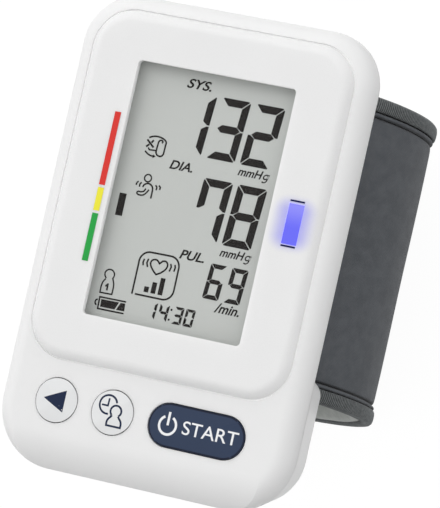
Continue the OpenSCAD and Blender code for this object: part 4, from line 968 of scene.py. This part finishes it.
# Seam thread: a dark row of lockstitches beside each tape, which holds it to the cover. Each
# stitch dips into the fabric at its two ends.
STITCH, THREAD_R = 1.5, 0.2
THREAD_ACROSS, THREAD_Z = 25.9, -0.28
thread_finish = finish("seam_thread", ("191A1B", "232425"), 0.8, bump=0.03, grain_scale=4000,
                       Specular_IOR_Level=0.2)
for name, sign, arcs, _ in RIMS:
    loop = [(sign * (THREAD_ACROSS + THREAD_R * cos(pi * k / 3)),
             THREAD_Z + THREAD_R * sin(pi * k / 3)) for k in range(6)]
    thread = first_line(name.format("seam_thread"), loop, arcs=arcs, closed=True)
    roll_up(thread, STITCH / 5, arcs)
    close_ends(thread)
    for v, s, across, height, way in rolled(thread):
        out = Vector((0, across - sign * THREAD_ACROSS, 0)) + way * (height - THREAD_Z)
        v.co -= out * 0.75 * abs(cos(pi * s / STITCH)) ** 6 * MM
    set_on_cuff(thread, lift=0.3)
    smooth(thread, 80)
    ink(thread, thread_finish, "monitor")

# Cuff pad: the air bladder and its foam in a light napped lining. It is pinched in the bound
# rims, swells softly out over their tapes and between them, with closed round ends at the gap.
PAD_OUT, PAD_MIDDLE, PAD_END = -0.97, -2.2, 4
PAD_HELD = 26.6
PAD_RIM = ((26.2, -0.85), (27.0, -0.85), (27.4, -1.15), (27.45, -1.75), (27.85, -2.1),
           (28.4, -2.3), (28.66, -2.8), (28.5, -3.5), (27.9, -4.3), (26.6, -5.1), (24.6, -5.65),
           (22, -6.05), (19, -6.25), (17, -6.28))
pad_profile = [(-24.8 + 2.48 * k, PAD_OUT) for k in range(21)] + list(PAD_RIM)
pad_profile += [(14 - 2 * k, -6.3) for k in range(15)] + [(-c, h) for c, h in PAD_RIM[::-1]]

pad = first_line("cuff_pad", pad_profile, closed=True)
roll_up(pad, 1.6)
close_ends(pad)


def pad_height(s, across, height):
    """Rounds the pad off at the two sides of the gap."""
    end = min(s, CUFF_LENGTH - s)
    if end >= PAD_END:
        return height
    share = sqrt(max(0.0, 1 - ((PAD_END - end) / PAD_END) ** 2))
    return PAD_MIDDLE + (height - PAD_MIDDLE) * (0.35 + 0.65 * share)


swell(pad, pad_height)
# the lining is drawn over the pad by a short cloth simulation, at ten times its size
SIM_SCALE, SIM_STEPS, REACH = 10, 20, 0.9 * MM
modified(pad, "REMESH", mode="VOXEL", voxel_size=1.15 * MM)
before = [v.co.copy() for v in pad.data.vertices]
pinned = pad.vertex_groups.new(name="held")
for v, s, across, height, way in rolled(pad):
    if height > PAD_MIDDLE or abs(across) > PAD_HELD:
        pinned.add([v.index], 1, "REPLACE")
    v.co *= SIM_SCALE
cloth = pad.modifiers.new("cloth", "CLOTH")
cloth.settings.vertex_group_mass = "held"
cloth.settings.use_pressure = True
cloth.settings.uniform_pressure_force = -3
cloth.settings.tension_stiffness = 8
cloth.settings.compression_stiffness = 8
cloth.settings.bending_stiffness = 0.05
cloth.settings.shrink_min = -0.06
cloth.settings.effector_weights.gravity = 0
cloth.collision_settings.use_collision = False
cloth.point_cache.frame_start = 1
cloth.point_cache.frame_end = SIM_STEPS
for step in range(1, SIM_STEPS + 1):
    scene.frame_set(step)
only(pad)
bpy.ops.object.modifier_apply(modifier="cloth")
scene.frame_set(1)
for v, rest in zip(pad.data.vertices, before):
    move = v.co / SIM_SCALE - rest
    if move.length > REACH:
        move *= REACH / move.length
    v.co = rest + move
set_on_cuff(pad)
modified(pad, "SUBSURF", levels=1, render_levels=1)
smooth(pad, 80)
lining_finish = finish("napped_lining", ("8B8F8C", "B2B6B1"), 0.95, bump=0.16, grain_scale=2200,
                       cloud_scale=600, Sheen_Weight=0.5, Sheen_Roughness=0.6,
                       Specular_IOR_Level=0.1)
ink(pad, lining_finish, "monitor",
    ("cuff_lining", "cuff_bladder", "cuff_foam", "cuff_curler"))

# Closing strap: two layers of the cuff's fabric round a stiffener, sewn to the cuff below its
# gap, with a round-cornered tip, a taped edge and a field of hooks inside.
STRAP_R, STRAP_TIP, STRAP_ROOT = 23.7, 144, 212
STRAP_HALF, STRAP_CORNER = 27.6, 9
MAP_REPEAT = 7
TAPE_AT_TIP, TAPE_AT_SIDE = 2.4, 2.3


def past_tip(x, z):
    """Distance from the strap's tip of a point given from the cuff's middle."""
    return STRAP_R * radians(degrees(atan2(z, x + SIDE_X)) % 360 - STRAP_TIP)


def strap_half(from_tip):
    """Half the strap's width at a distance from its tip, which has round corners."""
    if from_tip >= STRAP_CORNER:
        return STRAP_HALF
    return STRAP_HALF - STRAP_CORNER + sqrt(
        max(0.0, STRAP_CORNER ** 2 - (STRAP_CORNER - from_tip) ** 2))


strap_arcs = ((-SIDE_X, 0, STRAP_R, 360 + STRAP_TIP, 360 + STRAP_ROOT),)
strap_profile = [(-STRAP_HALF + STRAP_HALF * 2 * k / 48, 0) for k in range(49)]
strap = first_line("closing_strap", strap_profile, arcs=strap_arcs)
roll_up(strap, 0.8, strap_arcs)
outward(strap)
for v in strap.data.vertices:
    x, across, z = v.co / MM
    if past_tip(x, z) < STRAP_CORNER:
        v.co.y = across * strap_half(past_tip(x, z)) / STRAP_HALF * MM
layer = strap.data.uv_layers.new(name="cloth")
for loop in strap.data.loops:
    x, across, z = strap.data.vertices[loop.vertex_index].co / MM
    layer.data[loop.index].uv = (STRAP_R * atan2(z, x + SIDE_X) % MAP_REPEAT * MM, across * MM)
for v in strap.data.vertices:
    v.co = on_cuff(*v.co / MM)

# the taped edge is cut from the strap's own outer faces
only(strap)
bpy.ops.object.duplicate()
edge_tape = bpy.context.object
edge_tape.name = "strap_edge_tape"


def strap_place(point):
    """Distance from the strap's tip, and from its nearer side, of a point on it."""
    x, y, z = point / MM
    across = abs(y - CUFF_Y - (z - CUFF_Z) * tan(CUFF_LEAN)) * cos(CUFF_LEAN)
    from_tip = past_tip(x, z - CUFF_Z)
    return from_tip, strap_half(from_tip) - across


edit(edge_tape, "DESELECT")
bpy.ops.mesh.select_mode(type="FACE")
leave()
for face in edge_tape.data.polygons:
    from_tip, from_side = strap_place(face.center)
    face.select = from_tip > TAPE_AT_TIP and from_side > TAPE_AT_SIDE
bpy.ops.object.mode_set(mode="EDIT")
bpy.ops.mesh.delete(type="FACE")
bpy.ops.mesh.select_mode(type="VERT")
leave()
# along the tip the tape's ribs run the other way
layer = edge_tape.data.uv_layers["cloth"]
for face in edge_tape.data.polygons:
    from_tip, from_side = strap_place(face.center)
    if from_tip < from_side:
        for loop in face.loop_indices:
            layer.data[loop].uv = layer.data[loop].uv.yx
modified(strap, "SOLIDIFY", thickness=1.35 * MM, offset=0)
modified(strap, "BEVEL", width=0.3 * MM, segments=2, limit_method="ANGLE")
smooth(strap)
modified(edge_tape, "SOLIDIFY", thickness=1.72 * MM, offset=0)
modified(edge_tape, "BEVEL", width=0.4 * MM, segments=3, limit_method="ANGLE")
smooth(edge_tape)
strap_finish = cloth_finish("strap_fabric")
ink(strap, strap_finish, "closure_strap", ("strap",))
ink(edge_tape, tape_finish, "closure_strap")
hook_finish = finish("hook_tape", ("2A2B2D", "37383A"), 0.6, bump=0.25, grain_scale=1300)
wear(hook_finish, "strap_hook_tape")

# Strap anchor: a folded patch of the same fabric sewn on the cuff below the gap; the strap's
# root turns in its fold.
anchor_arcs = ((-SIDE_X, 0, SIDE_R, 215, 180 + MEET), (0, LONG_Z, LONG_R, 180 + MEET, 232))
anchor_profile = [(-24.9 + 49.8 * k / 30, 1.1) for k in range(31)]
anchor = first_line("strap_anchor_patch", anchor_profile, arcs=anchor_arcs)
roll_up(anchor, 0.9, anchor_arcs)
outward(anchor)
lay_cloth_map(anchor)
set_on_cuff(anchor)
modified(anchor, "SOLIDIFY", thickness=1.9 * MM, offset=0)
modified(anchor, "BEVEL", width=0.5 * MM, segments=3, limit_method="ANGLE")
smooth(anchor)
ink(anchor, strap_finish, "monitor", ("strap_anchor",))

scene.view_settings.view_transform = "Standard"
